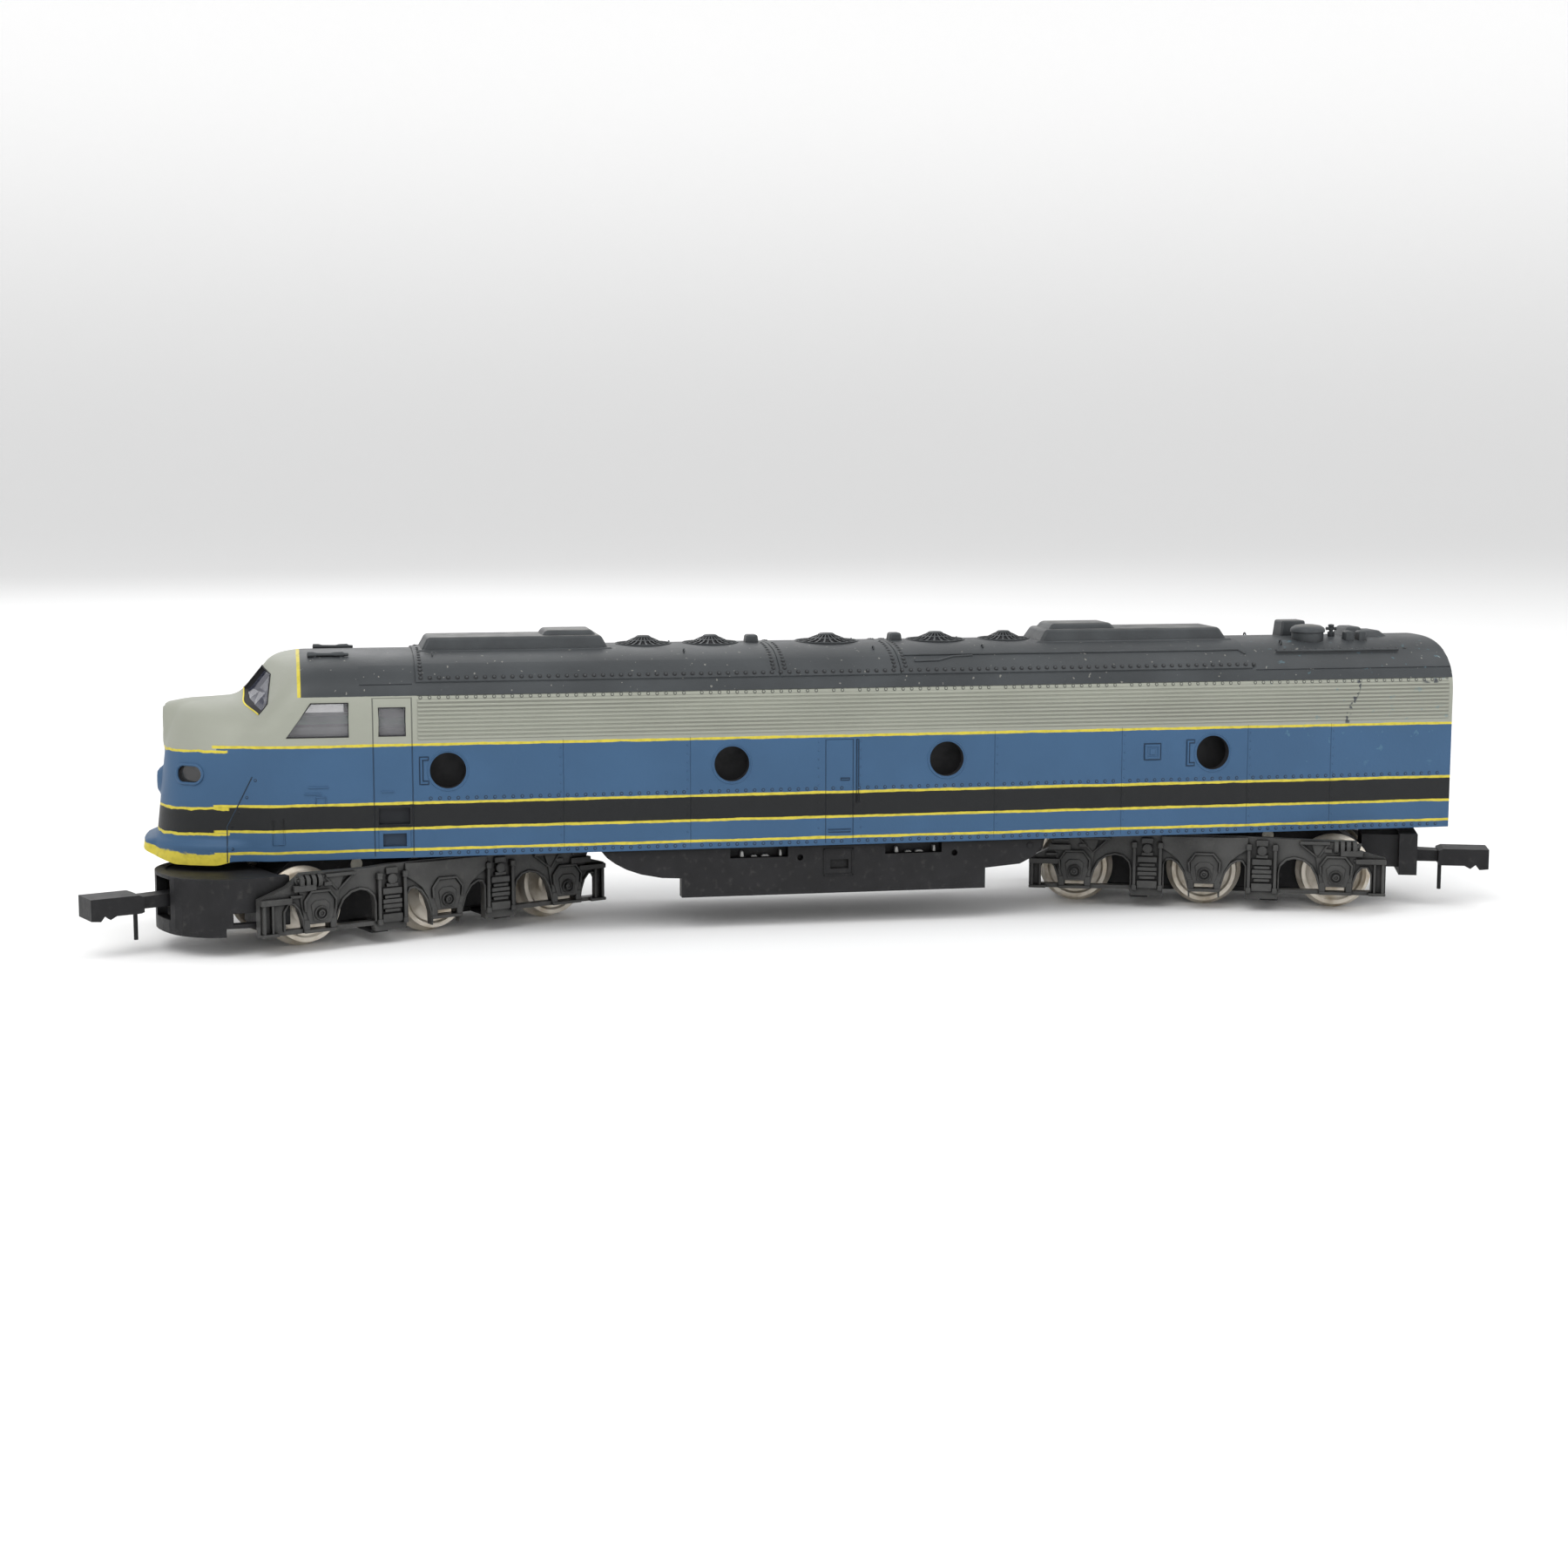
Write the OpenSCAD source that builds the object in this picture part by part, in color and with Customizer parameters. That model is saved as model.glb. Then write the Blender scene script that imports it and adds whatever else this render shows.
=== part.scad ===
// Streamlined six-axle passenger diesel locomotive, 1:160 scale, with a geared mechanism.
// The nose points along -Y, the left side along +X and up is +Z. Z = 0 is the plane
// under the wheel flanges, X = 0 the centre line, Y = 0 the middle over the couplers.

/* [Body shell] */
// Half width across the flat sides
half_w = 9.3; // [9:0.05:9.6]
// Height of the lower edge of the sides
side_z = 8.05; // [7.9:0.05:8.4]
// Height where the sides start to turn into the roof
spring_z = 21.5; // [20.5:0.1:22.5]
// Height of the roof crest
roof_z = 27.05; // [26:0.05:28]
// Squareness of the roof arch
roof_pow = 2.56; // [2:0.01:3.5]
// Rear end of the body
rear_y = 65.3; // [64:0.1:67]
// Wall thickness
wall = 1; // [0.8:0.05:1.4]
// Radius of the round side openings
port_r = 1.7; // [1.4:0.05:2]
// Height of the round side openings
port_z = 16.23; // [15:0.01:17]

/* [Nose] */
// Where the sides start to narrow into the nose
taper_y = -52; // [-55:0.5:-48]
// Front face on the centre line, at the hood's front edge
face_top_y = -61.75; // [-63:0.05:-61]
// How far the face leans forward for each millimetre down
face_lean = 0.117; // [0.05:0.001:0.2]
// Squareness of the nose in plan
plan_pow = 2.6; // [2:0.1:4]
// Height where the hood starts to arch over
hood_spring = 15; // [12:0.5:18]
// Height of the hood in front of the windscreen
hood_z = 22.75; // [22:0.05:23.5]
// Height of the headlight
light_z = 20.35; // [19.5:0.05:21]

/* [Trucks] */
// Front truck pivot
front_pivot = -39.5; // [-41:0.1:-38]
// Rear truck pivot
rear_pivot = 42.5; // [41:0.1:44]
// Front truck's swing, in degrees
front_yaw = 23; // [-25:0.5:25]
// Rear truck's swing, in degrees
rear_yaw = -19.5; // [-25:0.5:25]
// Distance between neighbouring axles
axle_gap = 13; // [12.5:0.05:13.5]
// Height of the axles
axle_z = 3.77; // [3.5:0.01:4]
// Wheel flange radius
flange_r = 3.77; // [3.6:0.01:3.9]
// Wheel tread radius
tread_r = 3.3; // [3.1:0.05:3.4]
// Half distance between the wheel backs
wheel_back = 3.8; // [3.75:0.01:3.9]
// Outer face of the side frames
frame_x = 9; // [8.6:0.05:9.1]
// Axle radius
axle_r = 0.75; // [0.6:0.05:0.9]

/* [Drive] */
// Height of the motor and worm shafts
drive_z = 14.6; // [14:0.1:15]
// Motor shaft radius
shaft_r = 0.75; // [0.6:0.05:1]
// Worm outside radius
worm_r = 1.85; // [1.6:0.05:1.9]
// Gear module
gear_m = 0.4; // [0.3:0.05:0.5]
// Teeth on the worm gears and axle gears
small_teeth = 12; // [10:1:14]
// Teeth on the idler gears
idler_teeth = 24; // [20:2:28]

/* [Hidden] */
$fn = 48;
mid_y = (front_pivot + rear_pivot) / 2;
gap = 0.05;
seal_y = -44;
skin_cols = 20;
small_r = gear_m * small_teeth / 2;
idler_r = gear_m * idler_teeth / 2;
mesh_r = small_r + idler_r;
rise = sqrt(4 * mesh_r * mesh_r - axle_gap * axle_gap);
top_z = axle_z + rise;
idler_y = axle_gap / 2;
idler_z = axle_z + rise / 2;
front_pin = -20.5;
rear_pin = 19;
pin_z = 5.1;
pin_r = 0.5;
port_y = [-35.94, -8.85, 12.45, 39.81];
fan_y = [-16.1, -9.4, 2.35, 13.55, 20.65];
fan_r = [2.8, 2.8, 3.2, 3, 2.65];

PAINT_BLUE = [0.29, 0.42, 0.55];
BLACK = [0.1, 0.1, 0.11];
STEEL = [0.62, 0.6, 0.56];
BRASS = [0.76, 0.64, 0.38];
CLEAR = [0.85, 0.9, 0.92, 0.35];
DIECAST = [0.33, 0.33, 0.34];
NYLON = [0.9, 0.89, 0.84];

// ---- smooth nose surface ----

function ramp(a, b, v) = let(t = min(1, max(0, (v - a) / (b - a)))) t * t * (3 - 2 * t);
function join(a, b, k) = let(h = max(k - abs(a - b), 0) / k) min(a, b) - h * h * k / 4;
function meet(a, b, k) = -join(-a, -b, k);
function superc(a, b, p) = pow(pow(a, p) + pow(b, p), 1 / p);

// distance outside the constant body section
function section_d(x, z) =
    (superc(abs(x) / half_w, max(0, z - spring_z) / (roof_z - spring_z), roof_pow) - 1) * 8.5;
// front face of the nose on the centre line
function face_y(z) = face_top_y - face_lean * (spring_z - min(z, spring_z));
// rounded bead along the nose's lower edge
function bead(y, z) = 0.95 * ramp(10.1, 9.4, z) * ramp(-54, -57, y);

// distance outside the low nose in front of the cab
function hood_d(x, y, z) = let(
    v = max(0, taper_y - y) / (taper_y - face_y(z)),
    plan = (superc(abs(x) / half_w, v, plan_pow) - 1) * half_w - bead(y, z),
    w = half_w * pow(max(0.2, 1 - pow(0.92 * v, plan_pow)), 1 / plan_pow),
    top = hood_z + 0.06 * (y + 56),
    arch = (superc(abs(x) / w, max(0, z - hood_spring) / (top - hood_spring), 2.6) - 1) * min(w, 7))
    meet(plan, arch, 2.4);

// distance outside the cab, whose windscreen leans back and sweeps to both sides
function cab_d(x, y, z) = let(
    screen = -54.7 + 0.82 * (max(z, 20) - 23.4) + 0.43 * (sqrt(x * x + 0.36) - 0.6))
    meet(section_d(x, z), (screen - y) * 0.72, 1.6);

// distance outside a round light housing that looks forward
function light_d(x, y, z, cz, r, front) =
    meet(sqrt(x * x + (z - cz) * (z - cz)) - r, front - y, 0.5);

function skin(p) = max(section_d(p[0], p[2]),
    join(join(join(hood_d(p[0], p[1], p[2]), cab_d(p[0], p[1], p[2]), 1),
        light_d(p[0], p[1], p[2], light_z, 1.95, -62.1), 0.9),
        light_d(p[0], p[1], p[2], 14.85, 1.1, -63), 0.5));

// point where a ray from o along d meets the skin moved inward by inset
function cast(o, d, inset, lo = 0, hi = 24, n = 22) = n == 0 ? o + d * lo
    : let(m = (lo + hi) / 2)
        skin(o + d * m) + inset < 0 ? cast(o, d, inset, m, hi, n - 1)
            : cast(o, d, inset, lo, m, n - 1);

// solid nose and cab in front of seal_y; rows run up the sides, then over the top
module nose_solid(inset, floor_z, low_rows, arch_rows) {
    axis_z = 15;
    last = low_rows + arch_rows;
    rows = [for (j = [0:last - 1]) [for (i = [0:skin_cols]) let(
        az = 180 * i / skin_cols,
        flat = [cos(az), -sin(az), 0],
        el = 90 * max(0, j - low_rows) / arch_rows,
        z = floor_z + (axis_z - floor_z) * min(j, low_rows) / low_rows)
        cast([0, seal_y, z], [flat[0] * cos(el), flat[1] * cos(el), sin(el)], inset)]];
    crest = cast([0, seal_y, axis_z], [0, 0, 1], inset);
    m = skin_cols + 1;
    pts = concat([for (r = rows) each r], [crest, [0, seal_y, floor_z]]);
    top = last * m;
    faces = concat(
        [for (j = [0:last - 2], i = [0:skin_cols - 1]) each [
            [j * m + i, (j + 1) * m + i + 1, (j + 1) * m + i],
            [j * m + i, j * m + i + 1, (j + 1) * m + i + 1]]],
        [for (i = [0:skin_cols - 1]) [(last - 1) * m + i, (last - 1) * m + i + 1, top]],
        [for (i = [0:skin_cols - 1]) [i, top + 1, i + 1]],
        [for (j = [0:last - 2]) each [
            [top + 1, j * m, (j + 1) * m],
            [top + 1, (j + 1) * m + skin_cols, j * m + skin_cols]]],
        [[top + 1, (last - 1) * m, top], [top + 1, top, (last - 1) * m + skin_cols]]);
    polyhedron(points = pts, faces = faces, convexity = 6);
}

// ---- shared shapes ----

// extrudes a (y, z) outline from x0 to x1
module slab(x0, x1) translate([x0, 0, 0]) rotate([90, 0, 90]) linear_extrude(x1 - x0) children();
// extrudes an (x, z) outline from y0 to y1
module bar(y0, y1) translate([0, y1, 0]) rotate([90, 0, 0]) linear_extrude(y1 - y0) children();
module box(x0, x1, y0, y1, z0, z1) translate([x0, y0, z0]) cube([x1 - x0, y1 - y0, z1 - z0]);
// rod along X
module rod_x(x0, x1, y, z, r) translate([x0, y, z]) rotate([0, 90, 0]) cylinder(r = r, h = x1 - x0);
// rod along Y
module rod_y(y0, y1, x, z, r) translate([x, y1, z]) rotate([90, 0, 0]) cylinder(r = r, h = y1 - y0);
module front_truck() translate([0, front_pivot, 0]) rotate([0, 0, front_yaw]) children();
module rear_truck() translate([0, rear_pivot, 0]) rotate([0, 0, rear_yaw]) children();
module both_sides() for (s = [0, 1]) mirror([s, 0, 0]) children();

// outline of the body section, moved inward by inset
function roof_pts(inset, steps) = [for (k = [0:steps]) let(t = 180 * k / steps, q = 2 / roof_pow)
    [sign(cos(t)) * (half_w - inset) * pow(abs(cos(t)), q),
        spring_z + (roof_z - spring_z - inset) * pow(sin(t), q)]];
module section(inset, z) polygon(concat([[half_w - inset, z]], roof_pts(inset, 28), [[inset - half_w, z]]));

// ---- body shell ----

// long box with sloping sides and ends, on the roof
module hatch(y0, y1, z0, z1, w, slope) intersection() {
    slab(-w, w) polygon([[y0, z0], [y1, z0], [y1 - slope, z1], [y0 + slope, z1]]);
    bar(y0, y1) polygon([[-w, z0], [w, z0], [w - slope * 0.6, z1], [slope * 0.6 - w, z1]]);
}

// low domed roof fan
module fan(y, r) translate([0, y, 0]) rotate_extrude() polygon([[0, 26], [r, 26], [r, 27.22],
    [r - 0.15, 27.37], [r * 0.62, 27.5], [r * 0.42, 27.8], [r * 0.2, 27.98], [0, 28.02]]);

module roof_gear() {
    hatch(-38.2, -19.7, 26.3, 28.4, 3.4, 0.9);
    hatch(-27.4, -19.9, 26.3, 28.85, 3.1, 1.5);
    hatch(23.3, 43.6, 26.3, 28.35, 3.4, 1);
    hatch(23.5, 33, 26.3, 28.85, 3.1, 1.7);
    for (k = [0:4]) fan(fan_y[k], fan_r[k]);
    for (y = [-5.3, 9.3]) box(-0.9, 0.9, y - 0.75, y + 0.75, 26.3, 28);
    translate([-1.2, 0, 0]) hatch(48.9, 52.3, 26, 28.55, 1.3, 0.45);
    translate([3, 52.1, 25]) cylinder(r = 1.76, h = 3);
    translate([1.5, 0, 0]) box(-0.35, 0.35, 54.9, 55.7, 26, 28.3);
    translate([3.2, 0, 0]) hatch(56.2, 58.8, 25.2, 27.5, 0.75, 0.2);
    hatch(56.4, 62.2, 26.3, 27.8, 2.4, 1.7);
}

// raised strip that covers the roof between the cab and the rear hatch
module roof_panel(y0, y1, low_z) intersection() {
    bar(y0, y1) section(-0.18, low_z);
    box(-half_w, half_w, y0, y1, low_z, roof_z + 1);
}

// opening of one cab window, as a (y, z) outline
module cab_window(grow) polygon([[-50.8 - grow, 19.6 - grow], [-45.1 + grow, 19.6 - grow],
    [-45.1 + grow, 22.75 + grow], [-48.5 - grow, 22.75 + grow]]);
module door_window(grow) translate([-42.3 - grow, 19.6 - grow]) square([2.45 + 2 * grow, 2.65 + 2 * grow]);
// opening of one windscreen pane, as an (x, z) outline
module windscreen(grow) polygon([[0.4 - grow, 23.5 - grow], [7.5 + grow, 21.65 - grow],
    [7.35 + grow, 22.6], [3.4, 25.05 + grow], [0.4 - grow, 25.6 + grow]]);

// small light in the nose corner: a stadium that looks out along the corner's normal
module nose_light(grow, d0, d1) translate([6.75, -59.9, 16.13]) rotate([0, 0, -45])
    translate([d0, 0, 0]) union() {
        box(0, d1 - d0, -0.62, 0.62, -0.78 - grow, 0.78 + grow);
        for (y = [-0.62, 0.62]) rod_x(0, d1 - d0, y, 0, 0.78 + grow);
    }

module side_details() {
    // door with its frame, grab irons, vent and centre door
    for (y = [-42.95, -39.3]) box(half_w - 0.1, half_w + 0.12, y, y + 0.25, 8.9, 23);
    box(half_w - 0.1, half_w + 0.12, -42.7, -39.3, 22.75, 23);
    for (z = [11.1, 8.9]) box(half_w - 0.1, half_w + 0.12, -42.4, -39.5, z, z + 0.3);
    box(half_w - 0.1, half_w + 0.1, -38.5, -37.9, 15, 17.6);
    box(half_w - 0.1, half_w + 0.1, 32.7, 34.3, 15.75, 17.15);
    box(half_w - 0.1, half_w + 0.12, 0.3, 3.2, 14, 18.3);
    // louvre bars along the top of the side
    for (k = [0:9]) box(half_w - 0.1, half_w + 0.12, -38.7, 64.9, 19.22 + k * 0.385, 19.44 + k * 0.385);
}

// body behind the cab, a true prism with its openings cut through
module long_shell() difference() {
    union() {
        bar(seal_y - 0.03, rear_y) section(0, side_z);
        roof_panel(-38.8, 44.1, 24.45);
        roof_gear();
        both_sides() side_details();
        both_sides() box(3.1, 3.9, rear_y - 0.1, rear_y + 0.6, 8.6, 23.4);
        box(-3.9, 3.9, rear_y - 0.1, rear_y + 0.6, 22.6, 23.4);
    }
    bar(seal_y - 1, rear_y - wall) section(wall, side_z - 2);
    for (y = port_y) rod_x(-half_w - 1, half_w + 1, y, port_z, port_r);
    slab(-half_w - 1, half_w + 1) door_window(0);
}

// nose and cab, one smooth faceted piece
module nose_shell() resize([0, 0, 0]) difference() {
    union() {
        nose_solid(0, 7.6, 6, 11);
        rod_y(-48.7, -44.7, 4.4, 26.9, 0.3, $fn = 12);
        rod_y(-48.1, -44.2, -2.6, 27.1, 0.3, $fn = 12);
    }
    nose_solid(wall, 6, 5, 9);
    // only the nose's lip hangs lower than the sides, and it rises again at the front
    slab(-half_w - 1, half_w + 1) polygon([[seal_y + 1, 6], [seal_y + 1, side_z], [-56, side_z],
        [-57.4, 7.7], [-61.3, 7.7], [-63, 8.15], [-64.8, 8.75], [-66, 8.75], [-66, 6]]);
    box(-half_w + wall, half_w - wall, seal_y - 0.5, seal_y + 1, 6, spring_z);
    slab(-half_w - 1, half_w + 1) cab_window(0);
    both_sides() bar(-58, -50) windscreen(0);
    both_sides() nose_light(0, -3, 2, $fn = 24);
    rod_y(-66, -56, 0, light_z, 1.3, $fn = 32);
}

module body_shell() color(PAINT_BLUE) union() {
    long_shell();
    nose_shell();
}

module windshield_glazing() color(CLEAR) resize([0, 0, 0]) intersection() {
    difference() {
        nose_solid(0.3, 14, 2, 11);
        nose_solid(0.85, 13.5, 2, 9);
    }
    both_sides() bar(-58, -50.2) windscreen(-0.02);
}

module cab_glazing() slab(half_w - 0.85, half_w - 0.3) {
    cab_window(-0.02);
    door_window(-0.02);
}
module cab_glazing_left() color(CLEAR) cab_glazing();
module cab_glazing_right() color(CLEAR) mirror([1, 0, 0]) cab_glazing();

module headlight_lens() color(CLEAR) union() {
    rod_y(-61.95, -58.5, 0, light_z, 1.28);
    rod_y(-58.5, -56.5, 0, light_z, 0.8);
}
module nose_light_lenses() color(CLEAR) both_sides() nose_light(-0.02, -1.4, -0.35);

// ---- frame ----

frame_half = 6.6;
frame_low = 8.8;
frame_top = 20;
bay_front = -19.5;
bay_rear = 22.5;
screw_at = [[-23.5, 17.6], [26.5, 17.6], [58.5, 14]];

// one of the two cast halves, on the +X side; the shaft line runs through both
module frame_half_shape() difference() {
    slab(0.15, frame_half) polygon([[-52, 13], [-52, 18.8], [-44, 18.8], [-43, frame_top],
        [62.5, frame_top], [62.5, frame_low], [-27, frame_low], [-27, 13]]);
    box(0, 4.65, bay_front, bay_rear, 9.3, frame_top + 1);
    for (p = [front_pivot, rear_pivot]) translate([0, p, 0]) {
        translate([0, 0, frame_low - 1]) cylinder(r = 12.9, h = 12.1 - frame_low, $fn = 96);
        translate([0, 0, 11]) cylinder(r = 10.1, h = 1.9, $fn = 96);
        box(0, 2.2, -4.8, 4.8, 12.8, 16.8);
        box(0, 1.6, -8, 8, 13, 16.2);
        rod_y(-11.5, 11.5, 0, drive_z, 1.1);
    }
    rod_y(front_pivot + 7, bay_front + 1, 0, drive_z, 1.8);
    rod_y(bay_rear - 1, rear_pivot - 7, 0, drive_z, 1.8);
    for (s = screw_at) rod_x(-1, frame_half + 1, s[0], s[1], 0.65);
}
module frame_left() color(DIECAST) frame_half_shape();
module frame_right() color(DIECAST) mirror([1, 0, 0]) frame_half_shape();

module frame_spacers() color(NYLON) for (s = [screw_at[0], screw_at[1]]) difference() {
    box(-0.15, 0.15, s[0] - 2.5, s[0] + 2.5, 16.5, 19.5);
    rod_x(-1, 1, s[0], s[1], 0.65);
}

module frame_screws() color(STEEL) for (s = screw_at) difference() {
    union() {
        rod_x(-6.2, 6.7, s[0], s[1], 0.6);
        rod_x(frame_half, frame_half + 0.8, s[0], s[1], 1.2);
    }
    box(frame_half + 0.5, frame_half + 1, s[0] - 2, s[0] + 2, s[1] - 0.15, s[1] + 0.15);
}

// two skirts with flared ends, and between them the web and the weight that screw to the frame
module fuel_tank() color(BLACK) difference() {
    union() {
        both_sides() slab(7.2, 8.6) polygon([[-21.4, 7.9], [-20.9, 7.3], [-20.1, 6.7], [-19, 6.1],
            [-17.6, 5.6], [-15.6, 5.2], [-13.65, 5.1], [-13.65, 3.2], [16.65, 3.2], [16.65, 5.2],
            [20.2, 5.5], [21.6, 6.2], [22.3, 7], [22.6, 7.9]]);
        box(-7.3, 7.3, -17, 20, 7, 7.9);
        box(-6, 6, -10, 13.4, 3.2, frame_low);
    }
    both_sides() {
        for (y = [-8.9, 6.5]) box(7.6, 9, y, y + 5.7, 6.9, 8);
        for (y = [-2, 13.5]) rod_x(7.9, 9, y, 6.8, 0.3);
        box(8.3, 9, 1, 2.8, 5.6, 6.5);
    }
}

// ---- motor and drive line ----

module motor_can() color(STEEL) difference() {
    intersection() {
        rod_y(mid_y - 10, mid_y + 8, 0, drive_z, 5.2);
        box(-4.6, 4.6, mid_y - 10, mid_y + 8, 9.4, 19.8);
    }
    rod_y(mid_y - 9.2, mid_y + 9, 0, drive_z, 4.1);
    rod_y(mid_y - 11, mid_y + 9, 0, drive_z, 0.8);
}
module motor_end_bell() color(BLACK) difference() {
    intersection() {
        rod_y(mid_y + 8, mid_y + 10, 0, drive_z, 5.2);
        box(-4.6, 4.6, mid_y + 8, mid_y + 10, 9.4, 19.8);
    }
    rod_y(mid_y + 7, mid_y + 11, 0, drive_z, 0.8);
    for (z = [-3, 3]) rod_y(mid_y + 7, mid_y + 11, 0, drive_z + z, 0.75);
}
module brush_caps() color(BRASS) for (z = [-3, 3]) rod_y(mid_y + 8.1, mid_y + 10.5, 0, drive_z + z, 0.73);

module armature() color([0.55, 0.3, 0.16]) difference() {
    union() {
        for (a = [0:2]) translate([0, mid_y, drive_z]) rotate([90, a * 120, 0]) translate([0, 0, -4]) {
            translate([0, 1.6, 5]) cube([1.4, 3, 10], center = true);
            translate([-1.9, 2.9, 0]) cube([3.8, 0.6, 10]);
        }
        rod_y(mid_y - 6, mid_y + 6.6, 0, drive_z, 1.5);
    }
    rod_y(mid_y - 8, mid_y + 8, 0, drive_z, shaft_r);
}
module motor_shaft() color(STEEL) rod_y(mid_y - 22, mid_y + 22, 0, drive_z, shaft_r);

module flywheel(y) difference() {
    rod_y(y - 3.2, y + 3.2, 0, drive_z, 4.2);
    rod_y(y - 4, y + 4, 0, drive_z, shaft_r);
    for (s = [-1, 1]) translate([0, y + s * 3.2, drive_z]) rotate([90, 0, 0])
        difference() {
            cylinder(r = 3.3, h = 0.8, center = true);
            cylinder(r = 1.9, h = 1, center = true);
        }
}
module flywheel_front() color(BRASS) flywheel(mid_y - 16.2);
module flywheel_rear() color(BRASS) flywheel(mid_y + 16.2);

// sleeve that joins the motor shaft to one worm shaft
module coupling(y0, y1) difference() {
    rod_y(y0, y1, 0, drive_z, 1.45);
    rod_y(y0 - 1, y1 + 1, 0, drive_z, shaft_r);
}
module drive_coupling_front() color(BLACK) coupling(front_pivot + 9.2, mid_y - 20.2);
module drive_coupling_rear() color(BLACK) coupling(mid_y + 20.2, rear_pivot - 9.2);

module worm(p) union() {
    rod_y(p - 4, p + 4, 0, drive_z, worm_r - 0.7);
    for (k = [0:5]) translate([0, p - 3.45 + k * 1.257, drive_z]) rotate([90, 0, 0])
        rotate_extrude() polygon([[0, -0.45], [worm_r - 0.72, -0.42], [worm_r, -0.16],
            [worm_r, 0.16], [worm_r - 0.72, 0.42], [0, 0.45]]);
    rod_y(p - 11, p + 11, 0, drive_z, shaft_r);
}
module worm_front() color(STEEL) worm(front_pivot);
module worm_rear() color(STEEL) worm(rear_pivot);

module worm_bearings() color(NYLON) for (p = [front_pivot, rear_pivot], s = [-6.4, 6.4]) difference() {
    box(-1.58, 1.58, p + s - 1.55, p + s + 1.55, drive_z - 1.58, drive_z + 1.58);
    rod_y(p + s - 3, p + s + 3, 0, drive_z, shaft_r + gap);
}

module circuit_board() color([0.1, 0.35, 0.2]) union() {
    box(-4.5, 4.5, -42.5, 36, frame_top, frame_top + 0.8);
    box(-1.6, 1.6, -52, -42, frame_top, frame_top + 0.8);
    for (y = [-30, -12, 5, 22]) box(-1.5, 1.5, y, y + 2.5, frame_top + 0.7, frame_top + 1.6);
}
module headlight_bulb() color([0.95, 0.93, 0.8]) union() {
    rod_y(-55.2, -52.5, 0, light_z + 0.4, 1.1);
    translate([0, -55.2, light_z + 0.4]) sphere(r = 1.1);
    for (x = [-0.5, 0.5]) rod_y(-52.6, -52, x, light_z + 0.4, 0.2);
}

// ---- trucks, each in its own frame with the pivot at the origin ----

// spur gear along X at (y, z), turned by a degrees, with a through pin
module gear(y, z, teeth, w, a, pin_r, pin_x) {
    pr = gear_m * teeth / 2;
    pitch = PI * gear_m;
    body = pr - 1.25 * gear_m;
    tip = pr + 0.8 * gear_m;
    translate([0, y, z]) rotate([a, 0, 0]) union() {
        slab(-w / 2, w / 2) union() {
            circle(r = body, $fn = 64);
            for (k = [0:teeth - 1]) rotate(k * 360 / teeth) polygon([
                [body - 0.1, -0.22 * pitch], [pr, -0.18 * pitch], [tip, -0.09 * pitch],
                [tip, 0.09 * pitch], [pr, 0.18 * pitch], [body - 0.1, 0.22 * pitch]]);
        }
        rod_x(-pin_x, pin_x, 0, 0, pin_r);
    }
}

// side profile of the gear tower
module tower_outline() polygon([[-15.9, 1.6], [15.9, 1.6], [15.9, 5.9], [12.1, 8.7], [9.6, 11.2],
    [9.5, 11.9], [7.6, 12.6], [-7.6, 12.6], [-9.5, 11.9], [-9.6, 11.2], [-12.1, 8.7], [-15.9, 5.9]]);

module gear_housing() difference() {
    slab(-2.6, 2.6) tower_outline();
    // gear wells, open below and over the worm gear
    slab(-1.1, 1.1) {
        for (s = [-1, 1]) translate([s * idler_y, idler_z]) circle(r = idler_r + 0.65);
        for (s = [-1, 1]) translate([s * axle_gap, axle_z]) circle(r = small_r + 0.65);
        translate([0, top_z]) circle(r = small_r + 0.65);
        translate([-small_r - 0.3, top_z]) square([2 * small_r + 0.6, 5]);
        translate([-axle_gap - 2.3, 1]) square([2 * axle_gap + 4.6, 3.4]);
    }
    for (y = [-axle_gap, 0, axle_gap]) {
        rod_x(-4, 4, y, axle_z, axle_r + gap);
        box(-4, 4, y - axle_r - gap, y + axle_r + gap, 1, axle_z);
    }
    for (s = [-1, 1]) rod_x(-4, 4, s * idler_y, idler_z, 0.65);
    rod_x(-4, 4, 0, top_z, 0.65);
}

// plate that closes the gear wells and carries the side frames on four arms
module keeper_plate() {
    difference() {
        box(-2.4, 2.4, -15.8, 15.8, 1.02, 1.6);
        for (s = [-1, 1]) box(-1.1, 1.1, s * axle_gap - 2.4, s * axle_gap + 2.4, 0, 2);
        for (s = [-1, 1]) box(-1.1, 1.1, s * idler_y - 2.6, s * idler_y + 2.6, 1.4, 2);
    }
    for (s = [-1, 1]) box(-7.4, 7.4, s * idler_y - 0.9, s * idler_y + 0.9, 1.02, 1.4);
    for (y = [-axle_gap, 0, axle_gap]) both_sides()
        box(1.3, 2.3, y - 0.7, y + 0.7, 1.3, axle_z - axle_r - gap);
}

// openings of a side frame toward its nose end: beside the middle axle, and either side of the outer one
module side_windows() {
    polygon([[-1.5, 0], [-1.6, 2.6], [-2.2, 4.3], [-3, 5.1], [-3.8, 5.2], [-4.15, 4.6], [-4.15, 0]]);
    polygon([[-11.5, 2.35], [-11.4, 2.8], [-10.9, 4.2], [-10, 5.3], [-8.8, 5.6], [-7.8, 5.2], [-7.3, 4.2],
        [-7.3, 2.35]]);
    polygon([[-14.5, 2.35], [-14.65, 3.2], [-15.1, 4.3], [-15.6, 4.8], [-16.2, 4.7], [-16.5, 4],
        [-16.5, 2.35]]);
}

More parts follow.
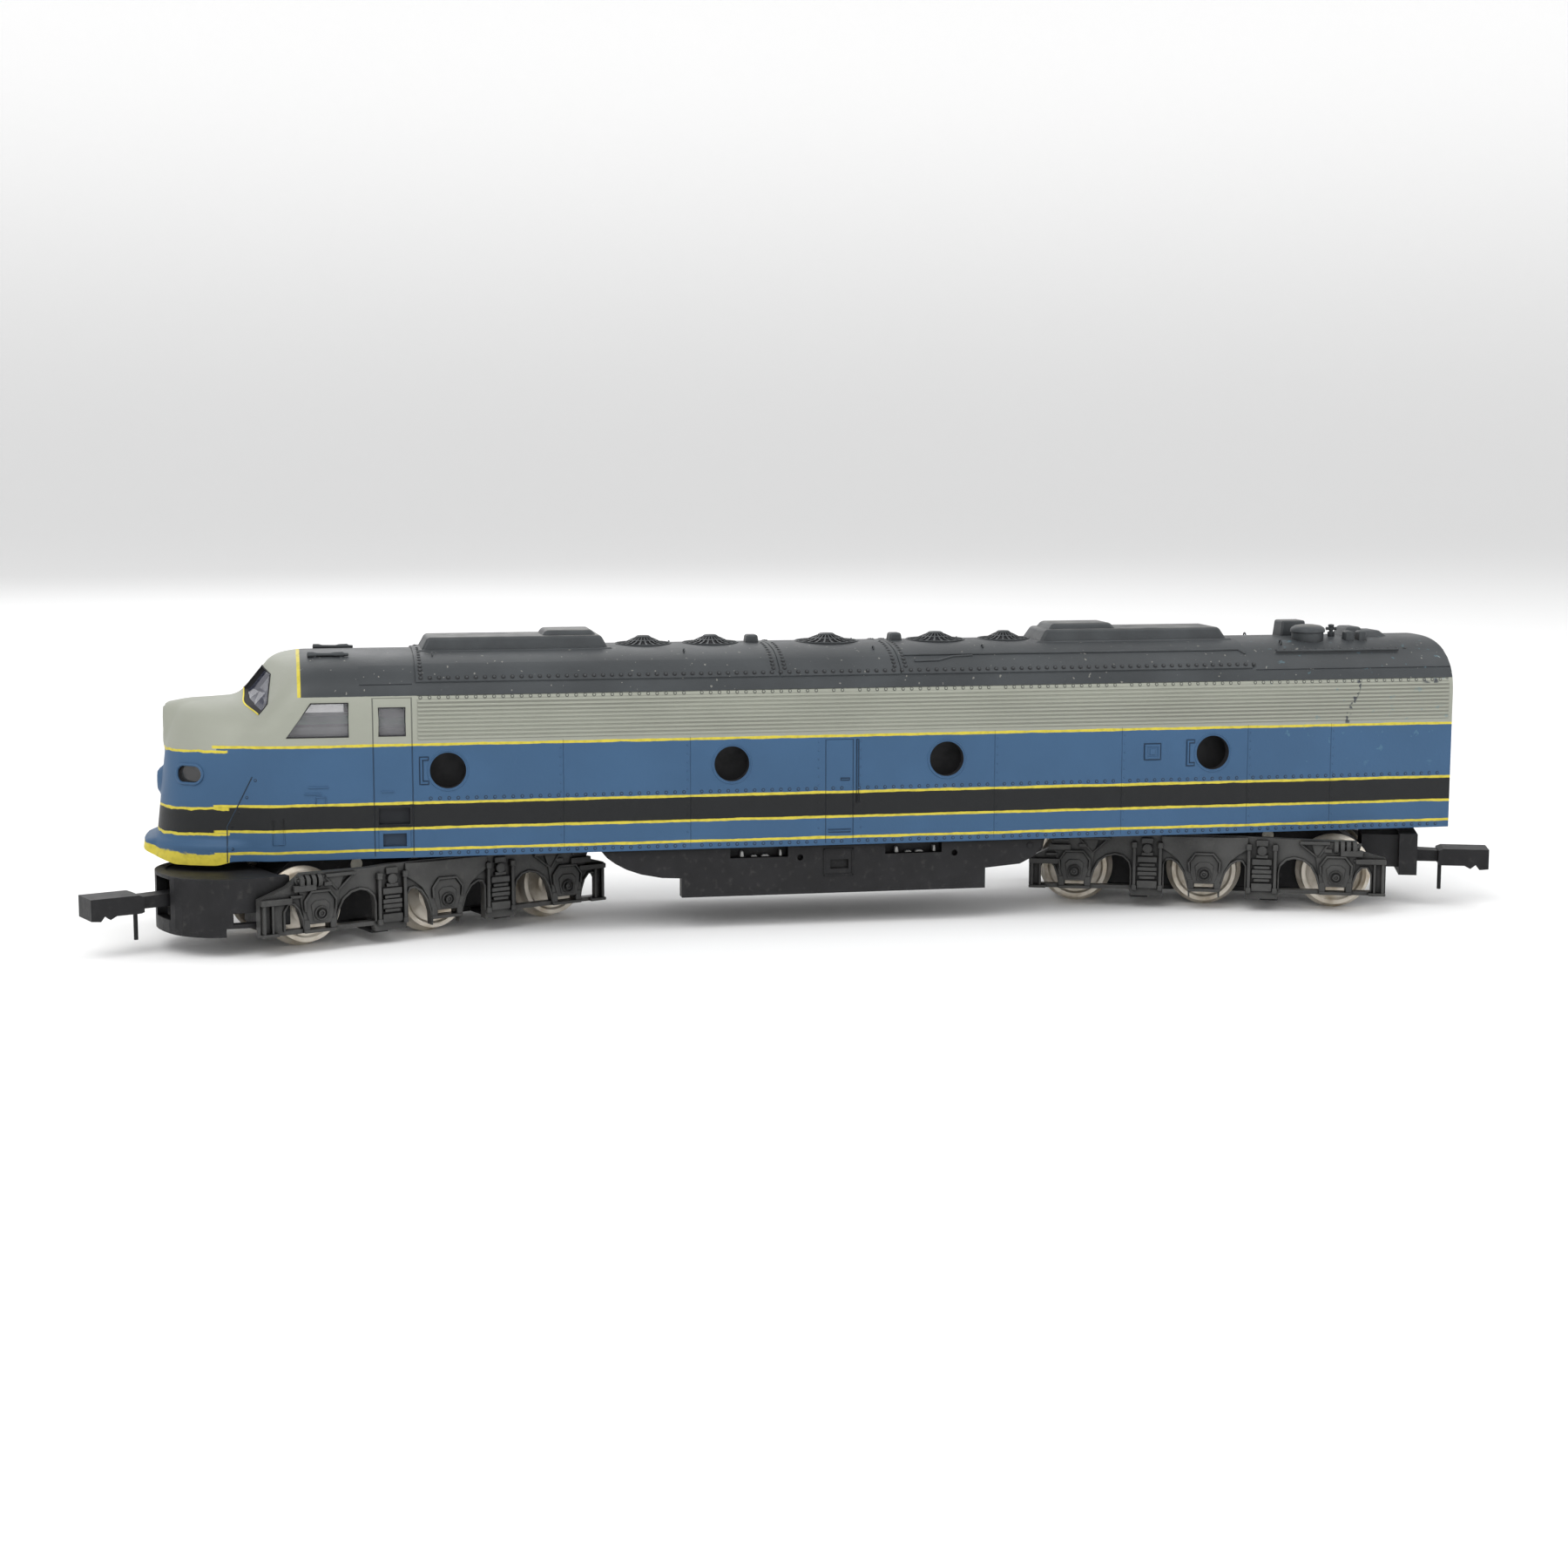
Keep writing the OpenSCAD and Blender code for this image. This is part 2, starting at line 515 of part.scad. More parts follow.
// side frame on the +X side; lead is the outline's nose end, trail the other
module side_frame(lead, trail, lead_z) {
    inner = frame_x - 1.6;
    difference() {
        slab(inner, frame_x - 0.5) polygon([[lead, 1.9], [-7.5, 1.9], [-7.3, 1.3], [7.3, 1.3], [7.5, 1.9],
            [trail, 1.9], [trail, 5.7], [trail - 2.6, 6.5], [15, 7.4], [8, 7.5], [3.6, 7.72],
            [-3.6, 7.72], [-8, 7.5], [-14.6, 7.55], [lead + 2.8, 6.5], [lead, lead_z]]);
        slab(inner - 1, frame_x + 1) {
            side_windows();
            mirror([1, 0, 0]) side_windows();
            translate([-1.4, 0]) square([2.8, 1.9]);
        }
    }
    // raised work: axle boxes, pedestals, spring hangers, beams, brake cylinder and end hangers
    for (y = [-13, 0, 13]) {
        slab(frame_x - 0.6, frame_x - 0.22) polygon([[y - 1.9, 6.9], [y - 1.35, 2.2], [y + 1.35, 2.2],
            [y + 1.9, 6.9]]);
        slab(frame_x - 0.3, frame_x) polygon([[y - 1.05, 4.5], [y - 0.6, 5.1], [y + 0.6, 5.1],
            [y + 1.05, 4.5], [y + 0.85, 2.6], [y - 0.85, 2.6]]);
        rod_x(frame_x - 0.3, frame_x + 0.12, y, axle_z, 0.42);
    }
    for (y = [-5.7, 5.7]) {
        for (k = [-1.35, 1.05]) box(frame_x - 0.6, frame_x - 0.1, y + k, y + k + 0.3, 1.9, 6.9);
        for (z = [2, 3.1, 4.2]) box(frame_x - 0.6, frame_x - 0.15, y - 1.1, y + 1.1, z, z + 0.7);
        rod_x(frame_x - 0.6, frame_x - 0.1, y, 5.9, 0.6);
    }
    for (s = [-1, 1]) {
        box(frame_x - 0.6, frame_x - 0.1, s * 12 - 2, s * 12 + 2, 6.55, 6.9);
        rod_x(frame_x - 0.9, frame_x - 0.15, s * 14.9, 6.7, 0.55);
    }
    for (y = [lead, trail - 1.3]) box(frame_x - 0.6, frame_x - 0.1, y, y + 1.3, 1.9, lead_z);
}

module pickup_strips() both_sides() union() {
    box(2.6, 2.8, -15.2, 15.2, 4.9, 6);
    for (y = [-axle_gap, 0, axle_gap]) box(2.75, wheel_back - 0.08, y - 1.1, y + 1.1, 5.2, 5.4);
}

module axle(y, geared, turn) {
    rod_x(-5.6, 5.6, y, axle_z, axle_r);
    if (geared) gear(y, axle_z, small_teeth, 1.6, turn, 1.2, 1);
}

module wheel() rotate([90, 0, 90]) rotate_extrude($fn = 72) polygon([[axle_r, 0], [flange_r - 0.25, 0],
    [flange_r, 0.22], [flange_r, 0.42], [tread_r + 0.12, 0.66], [tread_r, 0.8], [tread_r - 0.06, 2.1],
    [tread_r - 0.5, 2.1], [tread_r - 0.65, 1.85], [1.5, 1.8], [1.25, 2], [axle_r, 2]]);
module wheel_pair(y) both_sides() translate([wheel_back, y, axle_z]) wheel();

// plan outline of the pilot's front, closed at the back
module pilot_plan(w, tip, back) polygon(concat([for (k = [0:24]) let(t = 180 * k / 24)
    [sign(cos(t)) * w * pow(abs(cos(t)), 0.8), back + (tip - back) * pow(sin(t), 0.8)]]));

module pilot() {
    difference() {
        translate([0, 0, 1.9]) linear_extrude(5.4) pilot_plan(7.3, -24.9, -15.4);
        translate([0, 0, 1]) linear_extrude(8) pilot_plan(6.3, -23.9, -15.39);
        box(-1.7, 1.7, -30, -20, 3.2, 6.95);
        box(-8, 8, -21.2, -15, 1, 2.7);
        box(-8, 8, -20.6, -18.2, 3.1, 4.1);
    }
    // roof plate and tongue that reach back to the gear housing, and the coupler's pin
    translate([0, 0, 6.7]) linear_extrude(0.5) pilot_plan(6.6, -24.2, -15.9);
    box(-2.6, 2.6, -16.6, -15.9, 3.4, 7);
    both_sides() box(1.1, 1.7, front_pin - 1, front_pin + 1, 4.2, 6.8);
    rod_x(-1.6, 1.6, front_pin, pin_z, pin_r);
}

// hooked coupler; the shank's pin lies at (0, pin_y) and the head looks along -Y
module coupler(pin_y, reach) {
    tip = pin_y - reach;
    head = tip + 5;
    difference() {
        union() {
            slab(-1, 1) polygon([[pin_y + 1, 4.4], [pin_y + 1, 5.7], [head - 0.4, 5.5], [head - 0.4, 4.4]]);
            slab(-1.7, 1.7) polygon([[head, 5.6], [head - 0.5, 5.8], [tip, 5.8], [tip, 3.8],
                [tip + 0.9, 3.7], [tip + 1.3, 4.2], [tip + 1.8, 3.8], [tip + 2.4, 4.1],
                [head - 0.3, 4.1], [head, 4.2]]);
        }
        box(-0.9, 0.9, tip + 1, tip + 4, 3, 5.3);
        rod_x(-2, 2, pin_y, pin_z, pin_r + gap);
    }
    translate([0, head - 0.3, 1.4]) cylinder(r = 0.2, h = 2.9);
}

// coil spring behind the coupler's shank
module spring(y0, y1, turns) {
    per = 12;
    wire = 0.14;
    n = turns * per;
    ring = [for (k = [0:n]) let(a = 360 * k / per) [for (j = [0:5]) let(b = 60 * j)
        [(0.62 + wire * cos(b)) * cos(a), y0 + (y1 - y0) * k / n + wire * sin(b),
            pin_z + (0.62 + wire * cos(b)) * sin(a)]]];
    polyhedron(points = [for (r = ring) each r], faces = concat(
        [for (k = [0:n - 1], j = [0:5]) each [
            [k * 6 + j, k * 6 + (j + 1) % 6, (k + 1) * 6 + (j + 1) % 6],
            [k * 6 + j, (k + 1) * 6 + (j + 1) % 6, (k + 1) * 6 + j]]],
        [[5, 4, 3, 2, 1, 0], [for (j = [0:5]) n * 6 + j]]), convexity = 10);
}

// tooth phases that let each pair mesh
lead_dir = atan2(idler_z - top_z, -idler_y);
trail_dir = atan2(idler_z - top_z, idler_y);
function mate(dir, z1, a1, z2) = dir + 180 - (0.5 - (dir - a1) * z1 / 360) * 360 / z2;
idler_lead_a = mate(lead_dir, small_teeth, 0, idler_teeth);
idler_trail_a = mate(trail_dir, small_teeth, 0, idler_teeth);
axle_lead_a = mate(lead_dir, idler_teeth, idler_lead_a, small_teeth);
axle_trail_a = mate(trail_dir, idler_teeth, idler_trail_a, small_teeth);

module truck_worm_gear() gear(0, top_z, small_teeth, 1.6, 0, 0.6, 2.5);
module truck_idler(s, a) gear(s * idler_y, idler_z, idler_teeth, 1.6, a, 0.6, 2.5);

// ---- front truck ----

front_lead = -18.8;
front_trail = 17.3;
module front_gear_housing() color(BLACK) front_truck() gear_housing();
module front_keeper_plate() color(BLACK) front_truck() keeper_plate();
module front_side_frame_left() color(BLACK) front_truck() side_frame(front_lead, front_trail, 5.4);
module front_side_frame_right() color(BLACK) front_truck() mirror([1, 0, 0])
    side_frame(front_lead, front_trail, 5.4);
module front_pickup_strips() color(BRASS) front_truck() pickup_strips();
module front_pilot() color(BLACK) front_truck() pilot();
module front_coupler() color(BLACK) front_truck() coupler(front_pin, 11.7);
module front_coupler_spring() color(STEEL) front_truck() spring(-19.2, -16.8, 5);
module front_worm_gear() color(NYLON) front_truck() truck_worm_gear();
module front_idler_lead() color(NYLON) front_truck() truck_idler(-1, idler_lead_a);
module front_idler_trail() color(NYLON) front_truck() truck_idler(1, idler_trail_a);
module front_axle_lead() color(NYLON) front_truck() axle(-axle_gap, true, axle_lead_a);
module front_axle_centre() color(STEEL) front_truck() axle(0, false, 0);
module front_axle_trail() color(NYLON) front_truck() axle(axle_gap, true, axle_trail_a);
module front_wheels_lead() color(BRASS) front_truck() wheel_pair(-axle_gap);
module front_wheels_centre() color(BRASS) front_truck() wheel_pair(0);
module front_wheels_trail() color(BRASS) front_truck() wheel_pair(axle_gap);

// ---- rear truck; its lead side faces the middle of the locomotive ----

rear_lead = -17.6;
rear_trail = 17.9;

// box at the truck's outer end that holds the rear coupler
module coupler_pocket() {
    difference() {
        union() {
            box(-2.6, 2.6, 15.9, 19.6, 6.7, 7.3);
            box(-2.6, 2.6, 15.9, 16.6, 3.4, 7);
            box(-3.4, 3.4, 19.6, 21.4, 3.3, 7.5);
            both_sides() box(1.1, 2.6, 16.5, 19.7, 4, 7);
        }
        box(-1.7, 1.7, 19.5, 22, 3.9, 6.7);
    }
    rod_x(-1.6, 1.6, rear_pin, pin_z, pin_r);
}

module rear_gear_housing() color(BLACK) rear_truck() gear_housing();
module rear_keeper_plate() color(BLACK) rear_truck() keeper_plate();
module rear_side_frame_left() color(BLACK) rear_truck() side_frame(rear_lead, rear_trail, 5);
module rear_side_frame_right() color(BLACK) rear_truck() mirror([1, 0, 0])
    side_frame(rear_lead, rear_trail, 5);
module rear_pickup_strips() color(BRASS) rear_truck() pickup_strips();
module rear_coupler_pocket() color(BLACK) rear_truck() coupler_pocket();
module rear_coupler() color(BLACK) rear_truck() mirror([0, 1, 0]) coupler(-rear_pin, 9.7);
module rear_coupler_spring() color(STEEL) rear_truck() mirror([0, 1, 0]) spring(-17.75, -16.8, 3);
module rear_worm_gear() color(NYLON) rear_truck() truck_worm_gear();
module rear_idler_lead() color(NYLON) rear_truck() truck_idler(-1, idler_lead_a);
module rear_idler_trail() color(NYLON) rear_truck() truck_idler(1, idler_trail_a);
module rear_axle_lead() color(NYLON) rear_truck() axle(-axle_gap, true, axle_lead_a);
module rear_axle_centre() color(STEEL) rear_truck() axle(0, false, 0);
module rear_axle_trail() color(NYLON) rear_truck() axle(axle_gap, true, axle_trail_a);
module rear_wheels_lead() color(BRASS) rear_truck() wheel_pair(-axle_gap);
module rear_wheels_centre() color(BRASS) rear_truck() wheel_pair(0);
module rear_wheels_trail() color(BRASS) rear_truck() wheel_pair(axle_gap);

body_shell();
windshield_glazing();
cab_glazing_left();
cab_glazing_right();
headlight_lens();
nose_light_lenses();
frame_left();
frame_right();
frame_spacers();
frame_screws();
motor_can();
motor_end_bell();
brush_caps();
circuit_board();
headlight_bulb();
fuel_tank();
worm_bearings();
motor_shaft();
armature();
flywheel_front();
flywheel_rear();
drive_coupling_front();
drive_coupling_rear();
worm_front();
worm_rear();
front_gear_housing();
front_keeper_plate();
front_side_frame_left();
front_side_frame_right();
front_pickup_strips();
front_pilot();
front_coupler();
front_coupler_spring();
front_worm_gear();
front_idler_lead();
front_idler_trail();
front_axle_lead();
front_axle_centre();
front_axle_trail();
front_wheels_lead();
front_wheels_centre();
front_wheels_trail();
rear_gear_housing();
rear_keeper_plate();
rear_side_frame_left();
rear_side_frame_right();
rear_pickup_strips();
rear_coupler_pocket();
rear_coupler();
rear_coupler_spring();
rear_worm_gear();
rear_idler_lead();
rear_idler_trail();
rear_axle_lead();
rear_axle_centre();
rear_axle_trail();
rear_wheels_lead();
rear_wheels_centre();
rear_wheels_trail();
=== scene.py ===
"""Looks of the model diesel locomotive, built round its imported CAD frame.

Shapes are worked out in millimetres in the CAD's frame and scaled once, in Builder.piece() and
tube(). The nose points along -Y, the locomotive's left side along +X.
"""

import math

import bmesh
import bpy
import numpy as np
from mathutils import Matrix, Vector


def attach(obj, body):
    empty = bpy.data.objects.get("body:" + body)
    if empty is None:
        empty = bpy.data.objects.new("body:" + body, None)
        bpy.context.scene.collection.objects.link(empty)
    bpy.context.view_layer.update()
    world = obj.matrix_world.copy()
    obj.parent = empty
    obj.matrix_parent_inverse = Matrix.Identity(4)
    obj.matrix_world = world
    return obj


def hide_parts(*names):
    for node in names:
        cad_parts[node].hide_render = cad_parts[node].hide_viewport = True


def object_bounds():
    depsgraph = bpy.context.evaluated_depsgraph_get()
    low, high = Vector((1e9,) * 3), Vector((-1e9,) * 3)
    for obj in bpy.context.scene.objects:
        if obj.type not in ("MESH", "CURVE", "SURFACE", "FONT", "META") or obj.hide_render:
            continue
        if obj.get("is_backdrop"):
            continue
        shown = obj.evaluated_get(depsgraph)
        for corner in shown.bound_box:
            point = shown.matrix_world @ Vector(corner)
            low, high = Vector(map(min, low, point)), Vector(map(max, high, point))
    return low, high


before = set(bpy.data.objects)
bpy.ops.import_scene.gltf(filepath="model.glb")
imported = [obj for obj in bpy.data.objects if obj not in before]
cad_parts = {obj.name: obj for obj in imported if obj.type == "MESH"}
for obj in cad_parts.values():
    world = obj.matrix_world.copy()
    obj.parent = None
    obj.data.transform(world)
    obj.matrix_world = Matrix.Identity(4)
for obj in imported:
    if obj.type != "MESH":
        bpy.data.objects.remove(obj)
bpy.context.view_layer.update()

MM = 0.001

# ---- sizes of the body, as in the CAD source ----
HALF_W, SIDE_Z, SPRING_Z, ROOF_Z, ROOF_POW = 9.3, 8.05, 21.5, 27.05, 2.56
REAR_Y, WALL, SEAL_Y = 65.3, 1.0, -44.0
TAPER_Y, FACE_TOP_Y, FACE_LEAN, PLAN_POW = -52.0, -61.75, 0.117, 2.6
HOOD_SPRING, HOOD_Z, LIGHT_Z, LOW_LIGHT_Z = 15.0, 22.75, 20.35, 14.85
PORT_Y, PORT_Z, PORT_R = (-35.94, -8.85, 12.45, 39.81), 16.23, 1.7

# ---- paint scheme: centre heights of the four yellow lines, and what they part ----
LINE_GREY, LINE_BAND_TOP, LINE_BAND_LOW, LINE_SILL = 18.72, 13.23, 10.84, 8.82
LINE_HALF = 0.125
ROOF_PAINT_Z = 23.32
CAB_LINE_Y = -49.55
DECAL_END = -57.6
GRILLE = (-38.7, 64.9, 19.22, 0.385, 10)
SEAMS = (-25.06, -12.88, 17.3, 30.34, 43.49, 52.32)
DOOR = (-42.85, -39.25)
PANEL_Y, PANEL_Z = (-38.8, 44.1), 24.45
PANEL_BANDS = (-4.0, 8.0)
RIVET_PITCH = 0.86


# ---------------------------------------------------------------- node materials


class Shade:
    """Small helper that builds one material's nodes."""

    def __init__(self, name, metallic=0.0, specular=0.5):
        self.material = bpy.data.materials.new(name)
        self.material.use_nodes = True
        self.tree = self.material.node_tree
        self.shader = self.tree.nodes["Principled BSDF"]
        self.shader.inputs["Metallic"].default_value = metallic
        self.shader.inputs["Specular IOR Level"].default_value = specular
        self.place = self.node("ShaderNodeTexCoord").outputs["Object"]

    def node(self, kind, **values):
        made = self.tree.nodes.new(kind)
        for key, value in values.items():
            setattr(made, key, value)
        return made

    def link(self, value, socket):
        if isinstance(value, bpy.types.NodeSocket):
            self.tree.links.new(value, socket)
        else:
            socket.default_value = value

    def math(self, operation, *values):
        made = self.node("ShaderNodeMath", operation=operation)
        for socket, value in zip(made.inputs, values):
            self.link(value, socket)
        return made.outputs[0]

    def link_colour(self, colour, socket):
        self.link((*colour, 1) if isinstance(colour, tuple) else colour, socket)

    def plus(self, first, second):
        return self.math("ADD", first, second)

    def minus(self, first, second):
        return self.math("SUBTRACT", first, second)

    def times(self, *values):
        made = values[0]
        for value in values[1:]:
            made = self.math("MULTIPLY", made, value)
        return made

    def size(self, value):
        return self.math("ABSOLUTE", value)

    def sway(self, noise, width):
        """Noise shifted to lie round zero, width from end to end."""
        return self.times(self.minus(noise, 0.5), width)

    def within(self, value, low, high, edge):
        """1 between low and high, with soft edges on both sides of each."""
        above, below = self.fade(value, low - edge, low + edge), self.fade(value, high + edge, high - edge)
        return self.times(above, below)

    def relief(self):
        return self.node("ShaderNodeAttribute", attribute_name="relief").outputs["Fac"]

    def corner(self, reach_mm):
        """How open the surface is within reach: 0 in a corner, 1 on a flat."""
        made = self.node("ShaderNodeAmbientOcclusion", samples=8)
        made.inputs["Distance"].default_value = reach_mm * MM
        return made.outputs["AO"]

    def axes(self):
        """x, y and z in millimetres."""
        split = self.node("ShaderNodeSeparateXYZ")
        self.link(self.place, split.inputs[0])
        return [self.times(out, 1 / MM) for out in split.outputs]

    def noise(self, per_mm, detail=3.0, stretch=(1, 1, 1)):
        scale = self.node("ShaderNodeMapping")
        self.link(self.place, scale.inputs["Vector"])
        scale.inputs["Scale"].default_value = stretch
        made = self.node("ShaderNodeTexNoise")
        made.inputs["Scale"].default_value = per_mm / MM
        made.inputs["Detail"].default_value = detail
        self.link(scale.outputs[0], made.inputs["Vector"])
        return made.outputs["Fac"]

    def fade(self, value, low, high, start=0.0, end=1.0):
        """Smooth change from start to end while value goes from low to high."""
        made = self.node("ShaderNodeMapRange", interpolation_type="SMOOTHSTEP")
        for socket, given in zip(made.inputs, (value, low, high, start, end)):
            self.link(given, socket)
        return made.outputs[0]

    def mix(self, share, first, second):
        made = self.node("ShaderNodeMix", data_type="RGBA")
        self.link(share, made.inputs["Factor"])
        self.link_colour(first, made.inputs[6])
        self.link_colour(second, made.inputs[7])
        return made.outputs[2]

    def finish(self, colour, roughness, bump=None, bump_mm=0.01):
        self.link_colour(colour, self.shader.inputs["Base Color"])
        self.link(roughness, self.shader.inputs["Roughness"])
        if bump is not None:
            made = self.node("ShaderNodeBump")
            made.inputs["Distance"].default_value = bump_mm * MM
            made.inputs["Strength"].default_value = 1
            self.link(bump, made.inputs["Height"])
            self.link(made.outputs[0], self.shader.inputs["Normal"])
        return self.material


BLUE = (0.036, 0.086, 0.166)
GREY = (0.290, 0.300, 0.255)
BAND = (0.010, 0.011, 0.012)
ROOF = (0.036, 0.040, 0.043)
YELLOW = (0.56, 0.47, 0.05)
PLASTIC = (0.016, 0.016, 0.018)
DUST = (0.30, 0.29, 0.26)
# near black for the roof fittings: painted shade and grime in their sunk places, painted shade in their
# corners
SHADE_AND_GRIME = (0.004, 0.004, 0.005)


def tint(colour, share):
    return tuple(c * share for c in colour)


def near_line(s, level, height, thick, edge):
    """Mask of a painted line at a height, given how far up each spot counts as."""
    return s.fade(s.minus(s.size(s.minus(level, height)), thick), edge, -edge)


def body_stripes(s, y, z, height, patch):
    """Blue, grey above, the black band, and the four yellow lines."""
    edge = 0.03
    # the nose carries its own lines: a little lower, hand laid, and lapping over the side's
    hand = s.sway(s.noise(0.6, 3), 0.42)
    dip = s.plus(s.fade(z, 13.5, 18.0, 0.26, 0.42), s.times(s.fade(y, -58.0, -62.0), 0.1))
    lower = s.plus(hand, dip)
    nose_height = s.plus(height, lower)
    on_side = s.fade(y, DECAL_END - 0.1, DECAL_END + 0.1)
    on_nose = s.fade(y, DECAL_END + 1.5, DECAL_END + 1.3)
    height_here = s.plus(height, s.times(s.fade(y, DECAL_END + 0.5, DECAL_END + 0.3), lower))
    blue = s.mix(s.fade(patch, 0.35, 0.7), BLUE, tint(BLUE, 1.1))
    grey = s.mix(s.fade(patch, 0.35, 0.7), GREY, tint(GREY, 0.94))
    colour = s.mix(s.fade(height_here, LINE_GREY - edge, LINE_GREY + edge), blue, grey)
    colour = s.mix(s.within(height_here, LINE_BAND_LOW, LINE_BAND_TOP, edge), colour, BAND)
    thick = s.plus(LINE_HALF, s.sway(s.noise(0.6, 1), 0.1))
    yellow = s.mix(s.fade(s.noise(1.5, 2), 0.4, 0.7), YELLOW, tint(YELLOW, 0.82))
    for line in (LINE_GREY, LINE_BAND_TOP, LINE_BAND_LOW, LINE_SILL):
        for level, where in ((height, on_side), (nose_height, on_nose)):
            colour = s.mix(s.times(near_line(s, level, line, thick, edge), where), colour, yellow)
    # thick yellow on the nose's lower lip, ragged at its upper edge
    lip_top = s.plus(s.fade(y, -60.5, -65.2, 8.75, 9.4), s.sway(s.noise(0.5, 4, (1, 1, 3)), 1.1))
    lip = s.times(s.fade(s.minus(z, lip_top), 0.06, -0.06), s.fade(y, -56.2, -56.3))
    return s.mix(lip, colour, yellow), yellow


def body_roof(s, y, over, wobble, patch, colour, yellow):
    """Black roof behind the cab, edged by one yellow line."""
    ragged = s.plus(y, s.times(wobble, 0.8))
    behind = s.fade(ragged, CAB_LINE_Y - 0.03, CAB_LINE_Y + 0.03)
    roof = s.mix(s.fade(patch, 0.3, 0.75), ROOF, tint(ROOF, 1.35))
    colour = s.mix(s.times(over, behind), colour, roof)
    near = s.size(s.minus(ragged, CAB_LINE_Y))
    return s.mix(s.times(s.fade(near, 0.2, 0.12), over), colour, yellow)


def recess_shade_and_grime(s, y, z, colour):
    """Painted shade and grime in whatever lies below the surface, and painted shade between the grille's
    bars.
    """
    depth = s.relief()
    # painted shade and grime: sunk seams, steps and rivet feet are darkened
    colour = s.mix(s.times(s.fade(depth, -0.01, -0.06), 0.72), colour, (0.010, 0.012, 0.016))
    # painted shade between the grille's bars, patchy along them
    grille = s.times(s.fade(z, 19.1, 19.2), s.fade(z, 23.06, 23.0), s.within(y, GRILLE[0], GRILLE[1], 0.05))
    shade = s.fade(s.noise(0.5, 2, (1, 0.06, 1)), 0.35, 0.65, 0.12, 0.5)
    return s.mix(s.times(grille, s.fade(depth, 0.06, 0.02), shade), colour, (0.12, 0.12, 0.105))


def body_wear(s, x, y, z, over, colour):
    """A run of ink-like specks down the last panel, scuffs by the last opening, dust on the roof."""
    away = s.size(s.minus(y, s.fade(z, 19.0, 23.2, 54.0, 55.2)))
    run = s.times(s.fade(away, 0.32, 0.12), s.fade(z, 18.8, 19.0), s.fade(s.noise(1.6, 1), 0.52, 0.56),
                  s.fade(z, 23.3, 23.1))
    edge_run = s.times(s.fade(y, 61.8, 62.6), s.fade(z, 22.75, 22.85), s.fade(z, 23.3, 23.2),
                       s.fade(s.noise(0.7, 2), 0.5, 0.55))
    run = s.times(s.math("MAXIMUM", run, edge_run), s.fade(x, 6.0, 7.0), 0.85)
    colour = s.mix(run, colour, (0.03, 0.035, 0.05))
    scuff = s.times(s.fade(s.noise(1.1, 3), 0.66, 0.7), s.fade(y, 44, 48), s.fade(z, 14, 15.5))
    colour = s.mix(s.times(scuff, 0.3), colour, (0.10, 0.22, 0.27))
    speck = s.times(s.fade(s.noise(2.2, 1), 0.735, 0.75), over)
    return s.mix(s.times(speck, 0.5), colour, DUST)


def body_paint():
    """The whole body's paint, by height and by distance along it."""
    s = Shade("body_paint", specular=0.24)
    x, y, z = s.axes()
    wobble, fine = s.sway(s.noise(0.35, 2), 0.12), s.sway(s.noise(2.5, 2), 0.05)
    patch = s.noise(0.12, 4)
    over = s.fade(s.plus(z, fine), ROOF_PAINT_Z - 0.03, ROOF_PAINT_Z + 0.03)
    colour, yellow = body_stripes(s, y, z, s.plus(z, s.plus(wobble, fine)), patch)
    colour = body_roof(s, y, over, wobble, patch, colour, yellow)
    # painted shade and grime in sunk places and the grille, then stains, scuffs and dust
    colour = body_wear(s, x, y, z, over, recess_shade_and_grime(s, y, z, colour))
    rough = s.minus(s.plus(0.42, s.times(s.noise(0.4, 4), 0.16)), s.times(over, 0.05))
    return s.finish(colour, rough, s.noise(3.2, 4), 0.012)


def roof_black():
    """Black roof fittings: dust on upward faces, painted shade and grime in sunk places, painted shade in
    corners.
    """
    s = Shade("roof_black", specular=0.3)
    normal = s.node("ShaderNodeNewGeometry")
    split = s.node("ShaderNodeSeparateXYZ")
    s.link(normal.outputs["Normal"], split.inputs[0])
    up = s.fade(split.outputs[2], 0.75, 1.0)
    z = s.axes()[2]
    patch = s.noise(0.35, 5)
    colour = s.mix(s.fade(patch, 0.3, 0.75), ROOF, tint(ROOF, 1.4))
    dusty = s.times(up, s.fade(patch, 0.25, 0.65), s.fade(z, 27.9, 28.4))
    colour = s.mix(s.times(dusty, 0.3), colour, DUST)
    depth = s.relief()
    # painted shade and grime in sunk places, then painted shade in corners by ambient occlusion
    colour = s.mix(s.fade(depth, -0.01, -0.06, 0, 0.9), colour, SHADE_AND_GRIME)
    colour = s.mix(s.fade(s.corner(1.3), 0.25, 0.9, 0.85, 0), colour, SHADE_AND_GRIME)
    rough = s.plus(0.36, s.times(s.noise(0.8, 4), 0.2))
    return s.finish(colour, rough, s.noise(3.0, 4), 0.012)


def plastic(name, colour, roughness, dust=0.25, bump_mm=0.015, corner_shade_mm=0.0):
    """Matt moulding with soft variation, dust in patches, and painted shade in its corners."""
    s = Shade(name, specular=0.22)
    patch = s.noise(0.3, 5)
    tone = s.mix(s.fade(patch, 0.3, 0.75), colour, tint(colour, 1.5))
    tone = s.mix(s.times(s.fade(s.noise(1.4, 5), 0.55, 0.8), dust), tone, DUST)
    # painted shade: corners within reach are darkened towards a tenth of the colour, by ambient occlusion
    if corner_shade_mm:
        tone = s.mix(s.fade(s.corner(corner_shade_mm), 0.4, 0.97), tint(colour, 0.1), tone)
    rough = s.plus(roughness, s.times(s.noise(0.9, 3), 0.18))
    return s.finish(tone, rough, s.noise(4.0, 4), bump_mm)


